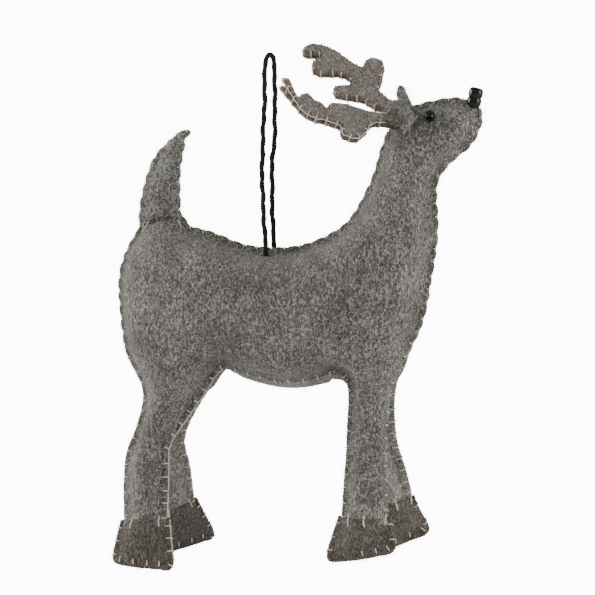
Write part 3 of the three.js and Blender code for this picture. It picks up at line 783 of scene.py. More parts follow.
def gussetPanel():
    half = flankLine[chestIndex:]
    ridge, aside = flankSeam.ridge[chestIndex:], -flankSeam.aside[chestIndex:]
    across = half[:, 1] + np.maximum(0, gussetSet["fold"] - half[:, 2])
    loop = np.vstack((np.column_stack((half[:, 0], -across)), np.column_stack((half[:, 0], across))[::-1]))
    flip = np.array((1, -1, 1))
    rimLine = np.vstack((half[:, :3] * flip, half[::-1, :3]))
    ridges = np.vstack((ridge * flip, ridge[::-1]))
    asides = np.vstack((aside * flip, aside[::-1]))
    arcs = flankSeam.arc[chestIndex:chestIndex + len(half)]
    arcs = np.concatenate((arcs, arcs[::-1]))
    flat, faces, rim = flatPattern(loop, seamSet["rows"], gussetSet["grid"])
    depth, k, f = nearestOn(flat, loop, True)
    net = stiffness(flat, faces)
    fixed = rim >= 0
    still = np.zeros(len(flat))
    held = np.where(fixed[:, None], rimLine[rim], 0)
    full = np.column_stack([relax(net, still, fixed, held[:, c]) for c in range(3)])
    share = gussetSet["bellyShare"]
    share += (1 - share) * ease(gussetSet["bellyLow"], gussetSet["legTop"], full[:, 2])
    height = swellOf(net, fixed, flankSet["round"]) * share * (1 - np.exp(-depth / flankSet["soft"]))
    normal = np.zeros_like(full)
    corner = np.cross(full[faces[:, 1]] - full[faces[:, 0]], full[faces[:, 2]] - full[faces[:, 0]])
    for c in range(3):
        np.add.at(normal, faces[:, c], corner)
    if normal[np.argmin(np.abs(flat[:, 0]) + np.abs(flat[:, 1])), 2] > 0:
        faces, normal = faces[:, ::-1], -normal
    full = full + unit(normal) * height[:, None]
    side = np.sign(flat[:, 1])
    out = full[:, 1] * side - gussetSet["apart"]
    apart = gussetSet["apart"] + 0.5 * (out + np.sqrt(out ** 2 + 1))
    legs = ease(*gussetSet["legRange"], np.abs(flat[:, 1]))
    full[:, 1] = full[:, 1] * (1 - legs) + side * apart * legs
    point, over, beside, arc = mixRows((rimLine, ridges, asides, arcs[:, None]), k, f)
    arc = arc[:, 0]
    # painted shade: lower down, on the inner faces of the legs, the gusset is darkened through the edge
    # tint
    shade = gussetSet["legShade"] * ease(*gussetSet["shadeRise"], full[:, 2])
    tint = np.maximum(edgeTint(flankSeam, depth, arc), shade)
    return sewnEdge(flankSeam, point, over, beside, depth, arc, full), faces, tint


gussetShape = tucked(*gussetPanel())
gusset = meshObject("belly_gusset_felt", toFrame(stance(gussetShape[0])), gussetShape[1], gussetFeltWithPaintedUnderlight)
giveValue(gusset, "edge", gussetShape[2])
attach(gusset, "reindeer")
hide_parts("belly_gusset")
bodyTree = treeOf((flankShape, -1), (flankShape, 1), (gussetShape, 1))
print("stage: belly gusset", len(gussetShape[0]), "points")


# hooves: an outer and an inner felt sewn round the foot, open at the top where the leg goes in (x, height)
hoofSet = {"pinch": 0.1, "grid": 1.2, "round": 14.0, "soft": 2.2, "gain": 0.55, "beyond": (0, 0, 1),
           "lift": 1.2, "fill": 0.7, "middle": legOut}
hoofKnots = {
    "rear": ([(-56.4, 17.3), (-57.4, 9.5), (-57.9, 4.2), (-56.9, 1.8), (-51.5, 0.7), (-44.3, 0.2), (-38, 0),
              (-34.2, -0.1), (-33.1, 1.9), (-34.6, 9.9), (-36.6, 18.9)],
             [(-36.6, 18.9), (-41, 18.8), (-47, 18.5), (-52.5, 18), (-56.4, 17.3)]),
    "front": ([(33.4, 22.6), (31.6, 15.6), (30.3, 9.5), (31, 6.3), (37.4, 6.4), (44.1, 7.4), (51.3, 9.0),
               (56, 10.3), (56.9, 12.2), (55.8, 16.6), (54.1, 23)],
              [(54.1, 23), (50, 23.1), (44.5, 22.9), (39, 22.8), (33.4, 22.6)]),
}


# the spot where a ray along the width meets the felt, from beyond it or from the middle
farOut, nearMiddle = 70, 0.05


def faceHit(tree, x, z, sign):
    start = Vector((x, farOut if sign > 0 else nearMiddle, z))
    return tree.ray_cast(start, Vector((0, -sign, 0)))[0]


def hug(line, sign, lift, least):
    out = []
    for x, z in line:
        hit = faceHit(bodyTree, x, z, sign)
        rest = legOut(z) if least is None else 0
        out.append(max((hit.y - rest) * sign + lift if hit else 0, lift))
    out = np.array(out)
    if least is not None:
        out = np.maximum(out, least)
    out[0] = out[-1] = 0
    for _ in range(6):
        out[1:-1] = 0.25 * out[:-2] + 0.5 * out[1:-1] + 0.25 * out[2:]
    return out


hoofSeams, hoofTrees = {}, {}
for leg, (sewn, top) in hoofKnots.items():
    line = smoothLine([(x, legOut(z), z, 0) for x, z in sewn], seamSet["step"])
    hoofSeams[leg] = seam = Seam(line, False, 21 + len(hoofSeams), hoofSet["pinch"])
    top = smoothLine([(x, z) for x, z in top], seamSet["step"])
    shapes = []
    for sign, layer in ((1, "outer"), (-1, "inner")):
        out = legOut(top[:, 1]) + sign * hug(top, sign, hoofSet["lift"], None)
        shape = sewnPanel(line, seam, hoofSet, sign, np.column_stack((top[:, 0], out, top[:, 1])))
        shapes.append((shape, 1))
        for side, name in bothSides:
            hoof = feltPiece(f"{name}_{leg}_hoof_{layer}_felt", *shape, side, sign, hoofFelt)
            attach(hoof, "reindeer")
            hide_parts(f"{name}_{leg}_hoof_{layer}")
    hoofTrees[leg] = treeOf(*shapes, (flankShape, 1), (gussetShape, 1))
print("stage: hooves")


# tail: two felts sewn round the edge, their arched lower edges straddling the back seam (x, height)
tailSet = {"grid": 1.3, "round": 9.0, "soft": 2.4, "gain": 0.62, "beyond": (0, 0, -1), "lift": 0.9,
           "fill": 0.6, "middle": np.zeros_like, "edge": 0.6, "stand": 2.6, "arch": 0.6,
           "bendLow": (-44.5, 0, 133.5), "bendHigh": (-44.5, 0, 147)}
tailKnots = [
    (-35.0, 134.2), (-36.8, 137.2), (-37.7, 141), (-37.9, 145), (-37.9, 150), (-37.9, 154.9),
    (-37.5, 159.4), (-36.7, 164.2), (-36, 167.9), (-35.4, 171), (-33.3, 173.5), (-34.0, 174.5),
    (-38.4, 172.8), (-41, 170.8), (-44.8, 167.2), (-48.2, 163.2), (-51.5, 155.5), (-53.1, 149.8),
    (-54.3, 143.6), (-54.8, 137.9), (-54.6, 133.2),
]
tailArch = [(-54.6, 133.2), (-52.4, 134.8), (-49.9, 137.0), (-46.6, 138.5), (-43.2, 139.2), (-39.8, 138.7),
            (-37.2, 137), (-35.0, 134.2)]
tailLine = smoothLine([(x, 0, z, 0) for x, z in tailKnots], seamSet["step"])
tailSeam = Seam(tailLine, False, 31)
tailSeam.shown *= tailSet["edge"]
archLine = smoothLine(tailArch, seamSet["step"])
archRise = np.sin(np.linspace(0, math.pi, len(archLine))) ** tailSet["arch"]
archOut = hug(archLine, 1, tailSet["lift"], tailSet["stand"] * archRise)
archEdge = np.column_stack((archLine[:, 0], archOut, archLine[:, 1]))
tailShape = sewnPanel(tailLine, tailSeam, tailSet, 1, archEdge)
tailTree = treeOf((tailShape, -1), (tailShape, 1), (flankShape, -1), (flankShape, 1))
for side, name in bothSides:
    tail = feltPiece(f"tail_{name}_panel", *tailShape, side, 1, tailFeltWithPaintedLight)
    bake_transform(tail)
    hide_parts(f"tail_{name}_felt")
    if side < 0:
        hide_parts("tail_stuffing")
print("stage: tail")


# antlers and ears: cut felt with a rounded edge, laid on a plate from root to tip (along, across)
cutSet = {"ragged": 0.28, "wave": 3.5, "roundness": 2.4, "flatEdge": 2.5, "tint": (0.45, 1.0), "waves": 8,
          "waveRange": (0.6, 1.6)}
antlerSet = {"grid": 1.3, "thick": 2.15, "gap": 0.1, "rim": 0.8, "rows": (0.1, 0.3, 0.6, 1.0, 1.6),
             "step": 0.7, "bend": 7, "wrinkle": 0.35, "wave": 5.5, "forkFrom": (34, 46)}
antlers = {
    "right": {"root": (50.7, -4.8, 180.7), "tip": (9.6, -15, 193.8), "lean": (0, 0.707, 0.707), "fork": 1.2,
              "threadSide": -1, "threadLevel": 0.78, "down": 0.7, "grow": 0.05,
              "pattern": [
                  (-4, 1.6), (0.6, 0.5), (10.3, -1.5), (16.6, -1.4), (21.7, -2.3), (24.6, -3.4),
                  (25.5, -6.6), (28.5, -4.4), (31.4, -4.2), (34.5, -1.8), (36.2, -3.4), (37.4, -5.3),
                  (41.6, -0.8), (43.5, 1.5), (45.8, 0.2), (43, -2.6), (40.1, -5.5), (34.6, -10.8),
                  (28.7, -12.7), (22.5, -12.3), (17.9, -13), (16.4, -16.4), (13.4, -17), (10.4, -16),
                  (8.2, -11.8), (7.2, -7.4), (2.7, -4.4), (-4, -3.2)]},
    "left": {"root": (50.5, 5.8, 182.3), "tip": (9.6, 16, 205.7), "lean": (0, 0.574, 0.819), "fork": 0.2,
             "threadSide": 1, "threadLevel": 0.45, "down": -0.1, "grow": 0.3,
             "pattern": [
                 (-4, 1), (0, 1.6), (3.4, 2.1), (5.7, 2.2), (11.5, 3), (13.8, 7.2), (16.8, 12.3),
                 (18.9, 14.4), (22.6, 13.8), (24.2, 11.2), (23.6, 7.8), (28.4, 7), (34.2, 7.2), (40.4, 7),
                 (46, 4.5), (48, 2), (47.6, -0.2), (45.6, -0.8), (43.4, 0.8), (40.4, 2.2), (40.9, -2.5),
                 (38.6, -5), (34.8, -4.1), (31.2, -1.5), (26.8, 0.7), (21.3, -0.9), (26.0, -5.2),
                 (26.1, -7.2), (23.9, -8.5), (19.3, -6.7), (13.4, -3.9), (9.4, -4), (3.2, -2.8),
                 (-4, -2.8)]},
}
earSet = {"grid": 1.1, "thick": 1.7, "rim": 0.7, "rows": (0.1, 0.3, 0.7, 1.3), "step": 0.6, "bend": 5,
          "wrinkle": 0.2, "wave": 4, "curlFrom": 9, "sagTo": 12, "tint": 0.2}
earLeaf = [(-3, -1.6), (0, -2.4), (4, -3.7), (8.5, -3.7), (12.3, -2.8), (14.4, -1.5), (15, 0),
           (14.4, 1.5), (12.3, 2.8), (8.5, 3.9), (4, 4.8), (0, 4.8), (-3, 3.6)]
ears = {
    "right": {"root": (52.8, -4.5, 184.6), "tip": (62.7, -14.5, 175.6), "lean": (-0.6, 0, -0.8),
              "cup": -0.08, "curl": -0.17, "sag": 1.0, "size": (1.1, 1.0)},
    "left": {"root": (55.1, 5, 183.2), "tip": (51.3, 11, 191.1), "lean": (0.5, 0.8, 0.2),
             "cup": 0.08, "curl": 0, "sag": 0, "size": (0.84, 0.68)},
}


class Plate:
    def __init__(self, look):
        self.root = np.array(look["root"], float)
        self.along = unit(np.array(look["tip"]) - self.root)
        lean = np.array(look["lean"], float)
        self.across = unit(lean - self.along * (lean @ self.along))
        self.normal = np.cross(self.along, self.across)

    def place(self, flat, out):
        return (self.root + flat[:, :1] * self.along + flat[:, 1:2] * self.across
                + np.asarray(out, float)[:, None] * self.normal)


def ripple(flat, seed, wave):
    rng = np.random.default_rng(seed)
    total = np.zeros(len(flat))
    for _ in range(cutSet["waves"]):
        turn, phase = rng.uniform(0, 2 * math.pi, 2)
        pace = 2 * math.pi / (wave * rng.uniform(*cutSet["waveRange"]))
        total += np.sin(pace * (flat @ (math.cos(turn), math.sin(turn))) + phase)
    return total * 2 / cutSet["waves"]


def feltSlab(loop, look, shift, seed):
    flat, faces, rim = flatPattern(loop, look["rows"], look["grid"])
    depth = nearestOn(flat, loop, True)[0]
    part = np.clip(depth / look["rim"], 0, 1)
    power = cutSet["roundness"]
    half = look["thick"] / 2 * (1 - (1 - part) ** power) ** (1 / power)
    lift = look["wrinkle"] * ripple(flat, seed, look["wave"]) * ease(0, cutSet["flatEdge"], depth)
    middle = shift(flat) + lift
    edge = rim >= 0
    under = np.where(edge, np.arange(len(flat)), len(flat) + np.cumsum(~edge) - 1)
    flats = np.vstack((flat, flat[~edge]))
    outs = np.concatenate((middle + half, (middle - half)[~edge]))
    tint = 1 - ease(*cutSet["tint"], depth)
    return flats, outs, np.vstack((faces, under[faces][:, ::-1])), np.concatenate((tint, tint[~edge]))


def forkOf(look, flat):
    return look["fork"] * ease(*antlerSet["forkFrom"], flat[:, 0])


def antlerShift(look, layer):
    apart = (antlerSet["gap"] + antlerSet["thick"]) / 2
    return lambda flat: layer * (apart + forkOf(look, flat))


def earShift(look):
    def shift(flat):
        along = flat[:, 0] / look["size"][0]
        tip = np.maximum(along - earSet["curlFrom"], 0)
        sag = look["sag"] * np.sin(math.pi * np.clip(along / earSet["sagTo"], 0, 1))
        return look["cup"] * flat[:, 1] ** 2 + look["curl"] * tip ** 2 + sag
    return shift


def raggedLoop(pattern, step, seed, grow=0.0):
    loop = smoothLine(pattern, step, True)
    return loop + outwardOf(loop) * (grow + cutSet["ragged"] * ripple(loop, seed, cutSet["wave"]))[:, None]


plates = {}
for name, look in antlers.items():
    plate = Plate(look)
    loop = raggedLoop(np.array(look["pattern"]) - (0, look["down"]), antlerSet["step"], 51, look["grow"])
    for layer, word in ((1, "lower"), (-1, "upper")):
        flats, outs, faces, tint = feltSlab(loop, antlerSet, antlerShift(look, layer), 61)
        points = toFrame(plate.place(flats, outs))
        felt = meshObject(f"{name}_antler_{word}_layer", points, faces, antlerFelt)
        giveValue(felt, "edge", tint)
        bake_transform(felt)
        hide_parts(f"{name}_antler_{word}_felt")
        size = np.ptp(loop, axis=0) / 1000
    plates[name] = (plate, loop)
for name, look in ears.items():
    plate = Plate(look)
    loop = raggedLoop(np.array(earLeaf) * look["size"], earSet["step"], 53)
    flats, outs, faces, tint = feltSlab(loop, earSet, earShift(look), 63)
    ear = meshObject(f"{name}_ear_leaf", toFrame(plate.place(flats, outs)), faces, greyFelt)
    giveValue(ear, "edge", tint * earSet["tint"])
    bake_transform(ear)
    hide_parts(f"{name}_ear")
print("stage: antlers and ears")


# beads: bored glass, turned round a line
beadSet = {"eye": 4.2, "eyeHigh": 0.92, "eyeBore": 0.8, "eyePlace": (67, 180.7), "eyeSink": 1.0,
           "nose": 5.8, "noseHigh": 4.4, "noseShift": {"base": (-1.8, 0, -0.2), "tip": (-0.3, 0, -0.8)},
           "noseBore": 1.2, "noseLean": (0.25, 0, 1), "around": 36, "profile": 24, "roundness": 0.85,
           "noseRoot": 3.2, "noseEnd": 0.4, "noseTie": (0, 0.3, 0.7, 1),
           "eyeTie": ((-1.05, 1.6), (-1, 0.3), (0, 0), (1, 0.3), (1.05, 1.6))}


def boredBead(centre, axis, width, height, bore):
    axis = unit(axis)
    side = unit(np.cross(axis, (0.2, 0.9, 0.4)))
    up = np.cross(axis, side)
    turn = np.linspace(0, 2 * math.pi, beadSet["profile"], endpoint=False)
    wall = (width - bore) / 4
    radius = bore / 2 + wall + wall * np.cos(turn)
    rise = height / 2 * np.sign(np.sin(turn)) * np.abs(np.sin(turn)) ** beadSet["roundness"]
    points, faces, rows, steps = [], [], beadSet["around"], beadSet["profile"]
    for i, angle in enumerate(np.linspace(0, 2 * math.pi, rows, endpoint=False)):
        out = side * math.cos(angle) + up * math.sin(angle)
        points.append(np.asarray(centre) + radius[:, None] * out + rise[:, None] * axis)
        for j in range(steps):
            a, b = i * steps, (i + 1) % rows * steps
            faces.append((a + j, b + j, b + (j + 1) % steps, a + (j + 1) % steps))
    return np.vstack(points), faces


def addBead(name, node, material, shape):
    bead = meshObject(name, toFrame(shape[0]), shape[1], material)
    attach(bead, "reindeer")
    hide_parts(node)


eyeSpots = {}
for side, name in bothSides:
    x, z = beadSet["eyePlace"]
    point, normal = bodyTree.ray_cast(Vector((x, side * farOut, z)), Vector((0, -side, 0)))[:2]
    normal = np.array(normal) * (1 if normal.y * side > 0 else -1)
    centre = np.array(point) + normal * (beadSet["eye"] / 2 - beadSet["eyeSink"])
    axis = unit(np.cross(normal, (1, 0, 0.2)))
    eyeSpots[side] = centre, normal, axis
    shape = boredBead(centre, axis, beadSet["eye"], beadSet["eye"] * beadSet["eyeHigh"], beadSet["eyeBore"])
    addBead(f"{name}_eye", f"{name}_eye_bead", blackBead, shape)
noseSpots = []
for name in ("base", "tip"):
    low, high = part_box(f"nose_{name}_bead")
    centre = (np.array(low) + np.array(high)) * 500 + (0, 0, hoofToLoop) + beadSet["noseShift"][name]
    noseSpots.append(centre)
    shape = boredBead(centre, beadSet["noseLean"], beadSet["nose"], beadSet["noseHigh"],
                      beadSet["noseBore"])
    addBead(f"nose_{name}", f"nose_{name}_bead", darkBead, shape)
print("stage: beads")


# thread: two plies that turn round each other, swept along every stitch
threadSet = {"radius": 0.17, "apart": 0.13, "twist": 1.7, "sides": 5, "step": 0.34, "sink": 0.45,
             "rest": 1.1, "slant": 0.35, "lipSteps": 13, "lipTurn": 1.3, "lipEnd": 0.95, "edgeStep": 0.8,
             "sway": 0.15, "swayPace": 1.1, "faceSteps": 9, "faceRest": 1.3}


def threadSweep():
    group, nodes, links, start, end = newGroup(
        "threadSweep", "GeometryNodeTree",
        {"Geometry": "Geometry", "Thread Radius": "Float", "Thread Sides": "Int",
         "Thread Finish": "Material"},
        {"Geometry": "Geometry"})
    curve, ring, tube, smooth, real, finish = addNodes(nodes, (
        "MeshToCurve", "CurvePrimitiveCircle", "CurveToMesh", "SetShadeSmooth", "RealizeInstances",
        "SetMaterial"), "GeometryNode")
    setInputs(tube, {"Fill Caps": True})
    join(links, (start, "Geometry", curve, "Mesh"), (start, "Thread Radius", ring, "Radius"),
         (start, "Thread Sides", ring, "Resolution"), (curve, 0, tube, "Curve"),
         (ring, 0, tube, "Profile Curve"), (tube, 0, smooth, "Geometry"), (smooth, 0, real, "Geometry"),
         (real, 0, finish, "Geometry"), (start, "Thread Finish", finish, "Material"),
         (finish, 0, end, "Geometry"))
    return group


sweep = threadSweep()


def bakeNodes(piece, group, values):
    modifier = piece.modifiers.new(group.name, "NODES")
    modifier.node_group = group
    for item in group.interface.items_tree:
        if item.in_out == "INPUT" and item.name in values:
            modifier[item.identifier] = values[item.name]
    mesh = bpy.data.meshes.new_from_object(piece.evaluated_get(bpy.context.evaluated_depsgraph_get()))
    piece.modifiers.clear()
    piece.data = mesh
    mesh.name = piece.name


def sewThread(name, paths, radius=1.0, material=paleThread):
    points, edges = [], []
    for path in paths:
        line = smoothLine(path, threadSet["step"])
        side, up = turnFrames(line)
        turn = 2 * math.pi * arcOf(line)[:, None] / threadSet["twist"]
        for phase in (0, math.pi):
            around = np.cos(turn + phase) * side + np.sin(turn + phase) * up
            ply = line + threadSet["apart"] * radius * around
            base = sum(map(len, points))
            points.append(ply)
            edges += [(base + i, base + i + 1) for i in range(len(ply) - 1)]
    mesh = bpy.data.meshes.new(name)
    mesh.from_pydata([tuple(map(float, p)) for p in toFrame(np.vstack(points))], edges, [])
    piece = bpy.data.objects.new(name, mesh)
    bpy.context.scene.collection.objects.link(piece)
    bakeNodes(piece, sweep, {"Thread Radius": threadSet["radius"] * radius / 1000,
                             "Thread Sides": threadSet["sides"], "Thread Finish": material})
    return piece


stitchRandom = np.random.default_rng(41)
threadRest = threadSet["radius"] * threadSet["rest"]


def overLip(seam, arc, reach, tree):
    point, ridge, aside = seam.at(arc)
    along = np.cross(ridge, aside)
    slant = stitchRandom.uniform(-threadSet["slant"], threadSet["slant"])
    path = []
    for share in np.linspace(-1, 1, threadSet["lipSteps"]):
        depth = abs(share) * reach
        out, over = (float(v[0]) for v in lip(seam, np.array([depth]), np.array([arc])))
        spot = point + ridge * out + aside * over * np.sign(share) + along * slant * share
        turn = math.pi / 2 * float(ease(0, threadSet["lipTurn"], depth))
        face = ridge * math.cos(turn) + aside * math.sin(turn) * np.sign(share)
        near = np.array(tree.find_nearest(Vector(spot))[0])
        path.append(near + face * (threadRest if abs(share) < threadSet["lipEnd"] else -threadSet["sink"]))
    return path


def alongRidge(seam, start, end, depth):
    path = []
    for arc in np.arange(start, end, threadSet["edgeStep"]):
        point, ridge, aside = seam.at(arc)
        out, over = (float(v[0]) for v in lip(seam, np.array([depth]), np.array([arc])))
        face = unit(ridge + aside * depth)
        sway = threadSet["sway"] * math.sin(arc * threadSet["swayPace"])
        path.append(point + ridge * out + aside * (over + sway) + face * threadRest)
    return path


def acrossFace(a, b, tree, sign):
    path = []
    for share in np.linspace(0, 1, threadSet["faceSteps"]):
        x, z = np.array(a) * (1 - share) + np.array(b) * share
        hit = faceHit(tree, x, z, sign)
        if hit is None:
            continue
        lift = threadRest * threadSet["faceRest"] if 0 < share < 1 else -threadSet["sink"]
        path.append((x, hit.y + sign * lift, z))
    return path


def mirrored(paths):
    return [np.asarray(path) * (1, -1, 1) for path in paths]


def onBothSides(paths):
    return [stance(path) for path in paths] + mirrored(paths)


def bottomTick(seam, arc, tree, sign):
    point, ridge, _ = seam.at(arc)
    low, high = (point - ridge * depth for depth in stitchSet["soleDepth"])
    return acrossFace(low[[0, 2]], high[[0, 2]], tree, sign)


# where the stitches go: reach on body and legs, threads along leg edges, ticks that hold the hoof tops (x)
stitchSet = {"bodyReach": 1.9, "legReach": 2.8, "legTop": 86, "hoofReach": 3.2, "tailReach": 1.9,
             "soleDepth": (1.2, 3.3), "frontTicks": 44, "sole": -0.6, "least": 5, "bodyVary": (0.85, 1.12),
             "hoofVary": (0.85, 1.1), "topLean": 0.4, "edgeDepth": 0.7,
             "hoofTops": {"rear": (-50.3, -40.0), "front": (38.3, 45.3, 52.6)}, "topHigh": 1.4,
             "topLow": 2.4, "topSize": 1.35, "backSize": 0.95, "legEdge": ((-19.2, 78.3), (-38, 19.2)),
             "hoofEdge": (-33.4, 3.2),
             "tailTies": (((-53.1, 133.0), (-50.1, 137.4)), ((-38.3, 138.0), (-36.4, 134.9)))}


def arcNear(seam, x, z):
    return seam.arc[int(np.argmin(np.linalg.norm(seam.line[:, [0, 2]] - (x, z), axis=1)))]


def bodyStitches():
    middle, beside = [], []
    chestArc = flankSeam.arc[chestIndex]
    for arc in flankSeam.stitches:
        onLeg = flankSeam.at(arc)[0][2] < stitchSet["legTop"]
        reach = stitchSet["legReach" if onLeg else "bodyReach"]
        reach *= stitchRandom.uniform(*stitchSet["bodyVary"])
        (middle if arc < chestArc else beside).append(overLip(flankSeam, arc, reach, bodyTree))
    beside.append(alongRidge(flankSeam, *(arcNear(flankSeam, *spot) for spot in stitchSet["legEdge"]), 0))
    for leg, seam in hoofSeams.items():
        tree = hoofTrees[leg]
        for arc in seam.stitches:
            if seam.at(arc)[1][2] < stitchSet["sole"]:
                faces = (1, -1) if leg == "rear" or seam.at(arc)[0][0] > stitchSet["frontTicks"] else (-1,)
                ticks = [bottomTick(seam, arc, tree, sign) for sign in faces]
                beside += [tick for tick in ticks if len(tick) > stitchSet["least"]]
            else:
                reach = stitchSet["hoofReach"] * stitchRandom.uniform(*stitchSet["hoofVary"])
                beside.append(overLip(seam, arc, reach, tree))
    rear = hoofSeams["rear"]
    start = arcNear(rear, *stitchSet["hoofEdge"])
    beside.append(alongRidge(rear, start, rear.arc[-1], stitchSet["edgeDepth"]))
    return middle, onBothSides(beside)


def topStitches():
    paths = []
    for leg, spots in stitchSet["hoofTops"].items():
        knots = np.array(sorted(hoofKnots[leg][1]))
        for x in spots:
            z = float(np.interp(x, knots[:, 0], knots[:, 1]))
            lean = stitchRandom.uniform(-stitchSet["topLean"], stitchSet["topLean"])
            for sign in (1, -1):
                path = acrossFace((x - lean, z + stitchSet["topHigh"]), (x + lean, z - stitchSet["topLow"]),
                                  hoofTrees[leg], sign)
                if len(path) > stitchSet["least"]:
                    paths.append(path)
    return onBothSides(paths)


middlePaths, sidePaths = bodyStitches()
for name, paths, size in (("back_stitches", middlePaths, stitchSet["backSize"]),
                          ("leg_stitches", sidePaths, 1.0)):
    seamThread = sewThread(name, paths, size)
    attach(seamThread, "reindeer")
hoofThread = sewThread("hoof_top_stitches", topStitches(), stitchSet["topSize"])
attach(hoofThread, "reindeer")
tailPaths = []
for arc in tailSeam.stitches:
    reach = stitchSet["tailReach"] * stitchRandom.uniform(*stitchSet["bodyVary"])
    tailPaths.append(overLip(tailSeam, arc, reach, tailTree))
ties = [acrossFace(a, b, tailTree, 1) for a, b in stitchSet["tailTies"]]
tailThread = sewThread("tail_stitches", tailPaths + ties + mirrored(ties))
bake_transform(tailThread)
print("stage: seam stitches", len(seamThread.data.polygons), "faces")


# antler edges: a thread along the rim, a tick across both layers at every stitch
rimSet = {"spacing": 4.4, "from": 1.5, "radius": 0.75, "out": 0.12, "lift": 0.6, "jitter": 0.5,
          "tick": ((-0.9, 1.0), (-0.54, 1.15), (-0.1, 1.05), (0.22, 0.6), (0.3, 0.0), (0.22, -0.6),
                   (-0.1, -1.05), (-0.54, -1.15), (-0.9, -1.0))}


def rimStitches(name):
    plate, loop = plates[name]
    look = antlers[name]
    outward = outwardOf(loop)
    half = antlerSet["thick"] + antlerSet["gap"] / 2 + threadRest * rimSet["lift"]
    fork = forkOf(look, loop)
    start = int(np.argmin(loop[:, 0]))
    order = np.roll(np.arange(len(loop)), -start)
    order = order[loop[order, 0] > rimSet["from"]]
    level = look["threadSide"] * (fork + antlerSet["thick"] * look["threadLevel"])
    paths = [plate.place(loop + outward * rimSet["out"], level)[order]]
    arc = arcOf(loop[order])
    count = round(arc[-1] / rimSet["spacing"])
    vary = stitchRandom.uniform(-rimSet["jitter"], rimSet["jitter"], count)
    for at in (np.arange(count) + 0.5) * arc[-1] / count + vary:
        i = order[int(np.clip(np.searchsorted(arc, at), 0, len(order) - 1))]
        spots = np.array([loop[i] + outward[i] * out for out, _ in rimSet["tick"]])
        highs = np.array([high for _, high in rimSet["tick"]])
        paths.append(plate.place(spots, highs * (half + fork[i])))
    return paths


for name in antlers:
    thread = sewThread(f"{name}_antler_stitches", rimStitches(name), rimSet["radius"])
    plate = plates[name][0]
    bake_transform(thread)
print("stage: antler stitches")


# thread through the beads, black through the eyes
def eyeTies():
    reach = beadSet["eye"] / 2
    return [[centre + axis * share * reach - normal * drop for share, drop in beadSet["eyeTie"]]
            for centre, normal, axis in eyeSpots.values()]


lean = unit(beadSet["noseLean"])
low = noseSpots[0] - lean * beadSet["noseRoot"]
high = noseSpots[1] + lean * (beadSet["noseHigh"] / 2 - beadSet["noseEnd"])
noseThread = sewThread("nose_thread_tie", [[low + (high - low) * share for share in beadSet["noseTie"]]])
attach(noseThread, "reindeer")
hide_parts("nose_thread")
eyeThread = sewThread("eye_thread_ties", eyeTies(), 1.0, blackCord)
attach(eyeThread, "reindeer")
print("stage: bead thread")


# loose wool fibres that lie on the felt and stand off its edges
fuzzSet = {"length": 1.8, "radius": 0.045, "seed": 7, "steps": 3, "sides": 3, "lie": (0.9, 1.5),
           "sizes": {2: 0.45, 3: 1.25},
           "bend": {"Start": (0, 0, -0.06), "Middle": (0.34, 0, 0.5), "End": (-0.1, 0.14, 1.0)},
           "flank": 9500, "gusset": 5000, "hooves": 5000, "tail": 2200, "antler": 1000, "ear": 350}


def fuzzScatter():
    group, nodes, links, start, end = newGroup(
        "fuzzScatter", "GeometryNodeTree",
        {"Geometry": "Geometry", "Fibre Density": "Float", "Fibre Length": "Float", "Fibre Radius": "Float",
         "Fibre Seed": "Int", "Fibre Finish": "Material"}, {"Geometry": "Geometry"})
    scatter, place, bend, ring, tube, real, finish, keep = addNodes(nodes, (
        "DistributePointsOnFaces", "InstanceOnPoints", "CurveQuadraticBezier", "CurvePrimitiveCircle",
        "CurveToMesh", "RealizeInstances", "SetMaterial", "StoreNamedAttribute"), "GeometryNode")
    lay, tilt, turn, size, tone = addNodes(nodes, (
        "RotateRotation", "EulerToRotation", "RandomValue", "RandomValue", "RandomValue"), "FunctionNode")
    scale, thin = addNodes(nodes, ("Math", "Math"))
    turn.data_type, size.data_type, tone.data_type = "FLOAT_VECTOR", "FLOAT", "FLOAT"
    lay.rotation_space = "LOCAL"
    keep.data_type, keep.domain = "FLOAT", "INSTANCE"
    scale.operation, thin.operation = "MULTIPLY", "DIVIDE"
    low, high = fuzzSet["lie"]
    setInputs(turn, {"Min": (low, 0, 0), "Max": (high, 0, 2 * math.pi)})
    setInputs(bend, {"Resolution": fuzzSet["steps"], **fuzzSet["bend"]})
    setInputs(ring, {"Resolution": fuzzSet["sides"]})
    setInputs(size, fuzzSet["sizes"])
    setInputs(keep, {"Name": "tone"})
    join(links, *((start, "Fibre Seed", node, "Seed") for node in (turn, size, tone, scatter)),
         (start, "Geometry", scatter, "Mesh"), (start, "Fibre Density", scatter, "Density"),
         (start, "Fibre Radius", thin, 0), (start, "Fibre Length", thin, 1), (thin, 0, ring, "Radius"),
         (bend, 0, tube, "Curve"), (ring, 0, tube, "Profile Curve"), (turn, 0, tilt, 0),
         (scatter, "Rotation", lay, "Rotation"), (tilt, 0, lay, "Rotate By"), (size, 1, scale, 0),
         (start, "Fibre Length", scale, 1), (scatter, "Points", place, "Points"),
         (tube, 0, place, "Instance"), (lay, 0, place, "Rotation"), (scale, 0, place, "Scale"),
         (place, 0, keep, "Geometry"), (tone, 1, keep, "Value"), (keep, 0, real, "Geometry"),
         (real, 0, finish, "Geometry"), (start, "Fibre Finish", finish, "Material"),
         (finish, 0, end, "Geometry"))
    return group


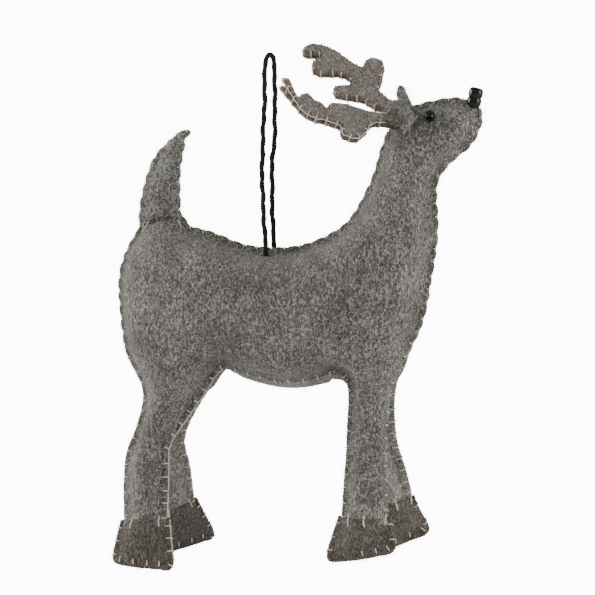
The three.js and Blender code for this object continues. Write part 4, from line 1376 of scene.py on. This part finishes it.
def fibreMaterial(name, dark, light):
    material, nodes, links, shader = newMaterial(name)
    tone, mix = nodes.new("ShaderNodeAttribute"), colourMix(nodes, linear(*dark), linear(*light))
    tone.attribute_name = "tone"
    setInputs(shader, {"Roughness": 0.9, "Specular IOR Level": 0.1})
    join(links, (tone, "Fac", mix, "Factor"), (mix, 2, shader, "Base Color"))
    return material


fuzzGroup = fuzzScatter()
greyFibre = fibreMaterial("greyFibre", (34, 32, 28), (190, 188, 183))
brownFibre = fibreMaterial("brownFibre", (34, 30, 26), (156, 149, 141))


def fuzzOver(name, bases, count, material):
    meshes = [bpy.data.objects[key].data for key in bases]
    shapes = [(np.array([tuple(corner.co) for corner in mesh.vertices]),
               np.array([tuple(polygon.vertices) for polygon in mesh.polygons])) for mesh in meshes]
    fuzz = meshObject(name, *merged(shapes), material)
    area = sum(polygon.area for polygon in fuzz.data.polygons)
    bakeNodes(fuzz, fuzzGroup, {"Fibre Density": count / area, "Fibre Length": fuzzSet["length"] / 1000,
                                "Fibre Radius": fuzzSet["radius"] / 1000, "Fibre Seed": fuzzSet["seed"],
                                "Fibre Finish": material})
    return fuzz


for name in ("right", "left"):
    fuzz = fuzzOver(f"{name}_flank_fuzz", [f"{name}_flank_felt"], fuzzSet["flank"], greyFibre)
    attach(fuzz, "reindeer")
fuzz = fuzzOver("gusset_fuzz", ["belly_gusset_felt"], fuzzSet["gusset"], greyFibre)
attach(fuzz, "reindeer")
hoofNames = [f"{side}_{leg}_hoof_{layer}_felt" for side in ("right", "left") for leg in hoofKnots
             for layer in ("outer", "inner")]
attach(fuzzOver("hoof_fuzz", hoofNames, fuzzSet["hooves"], brownFibre), "reindeer")
tailPanels = ["tail_right_panel", "tail_left_panel"]
tailFuzz = fuzzOver("tail_fuzz", tailPanels, fuzzSet["tail"], greyFibre)
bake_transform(tailFuzz)
for name in ("right", "left"):
    layers = [f"{name}_antler_lower_layer", f"{name}_antler_upper_layer"]
    fuzz = fuzzOver(f"{name}_antler_fuzz", layers, fuzzSet["antler"], brownFibre)
    plate = plates[name][0]
    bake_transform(fuzz)
    plate = Plate(ears[name])
    fuzz = fuzzOver(f"{name}_ear_fuzz", [f"{name}_ear_leaf"], fuzzSet["ear"], greyFibre)
    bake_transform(fuzz)
print("stage: fuzz")
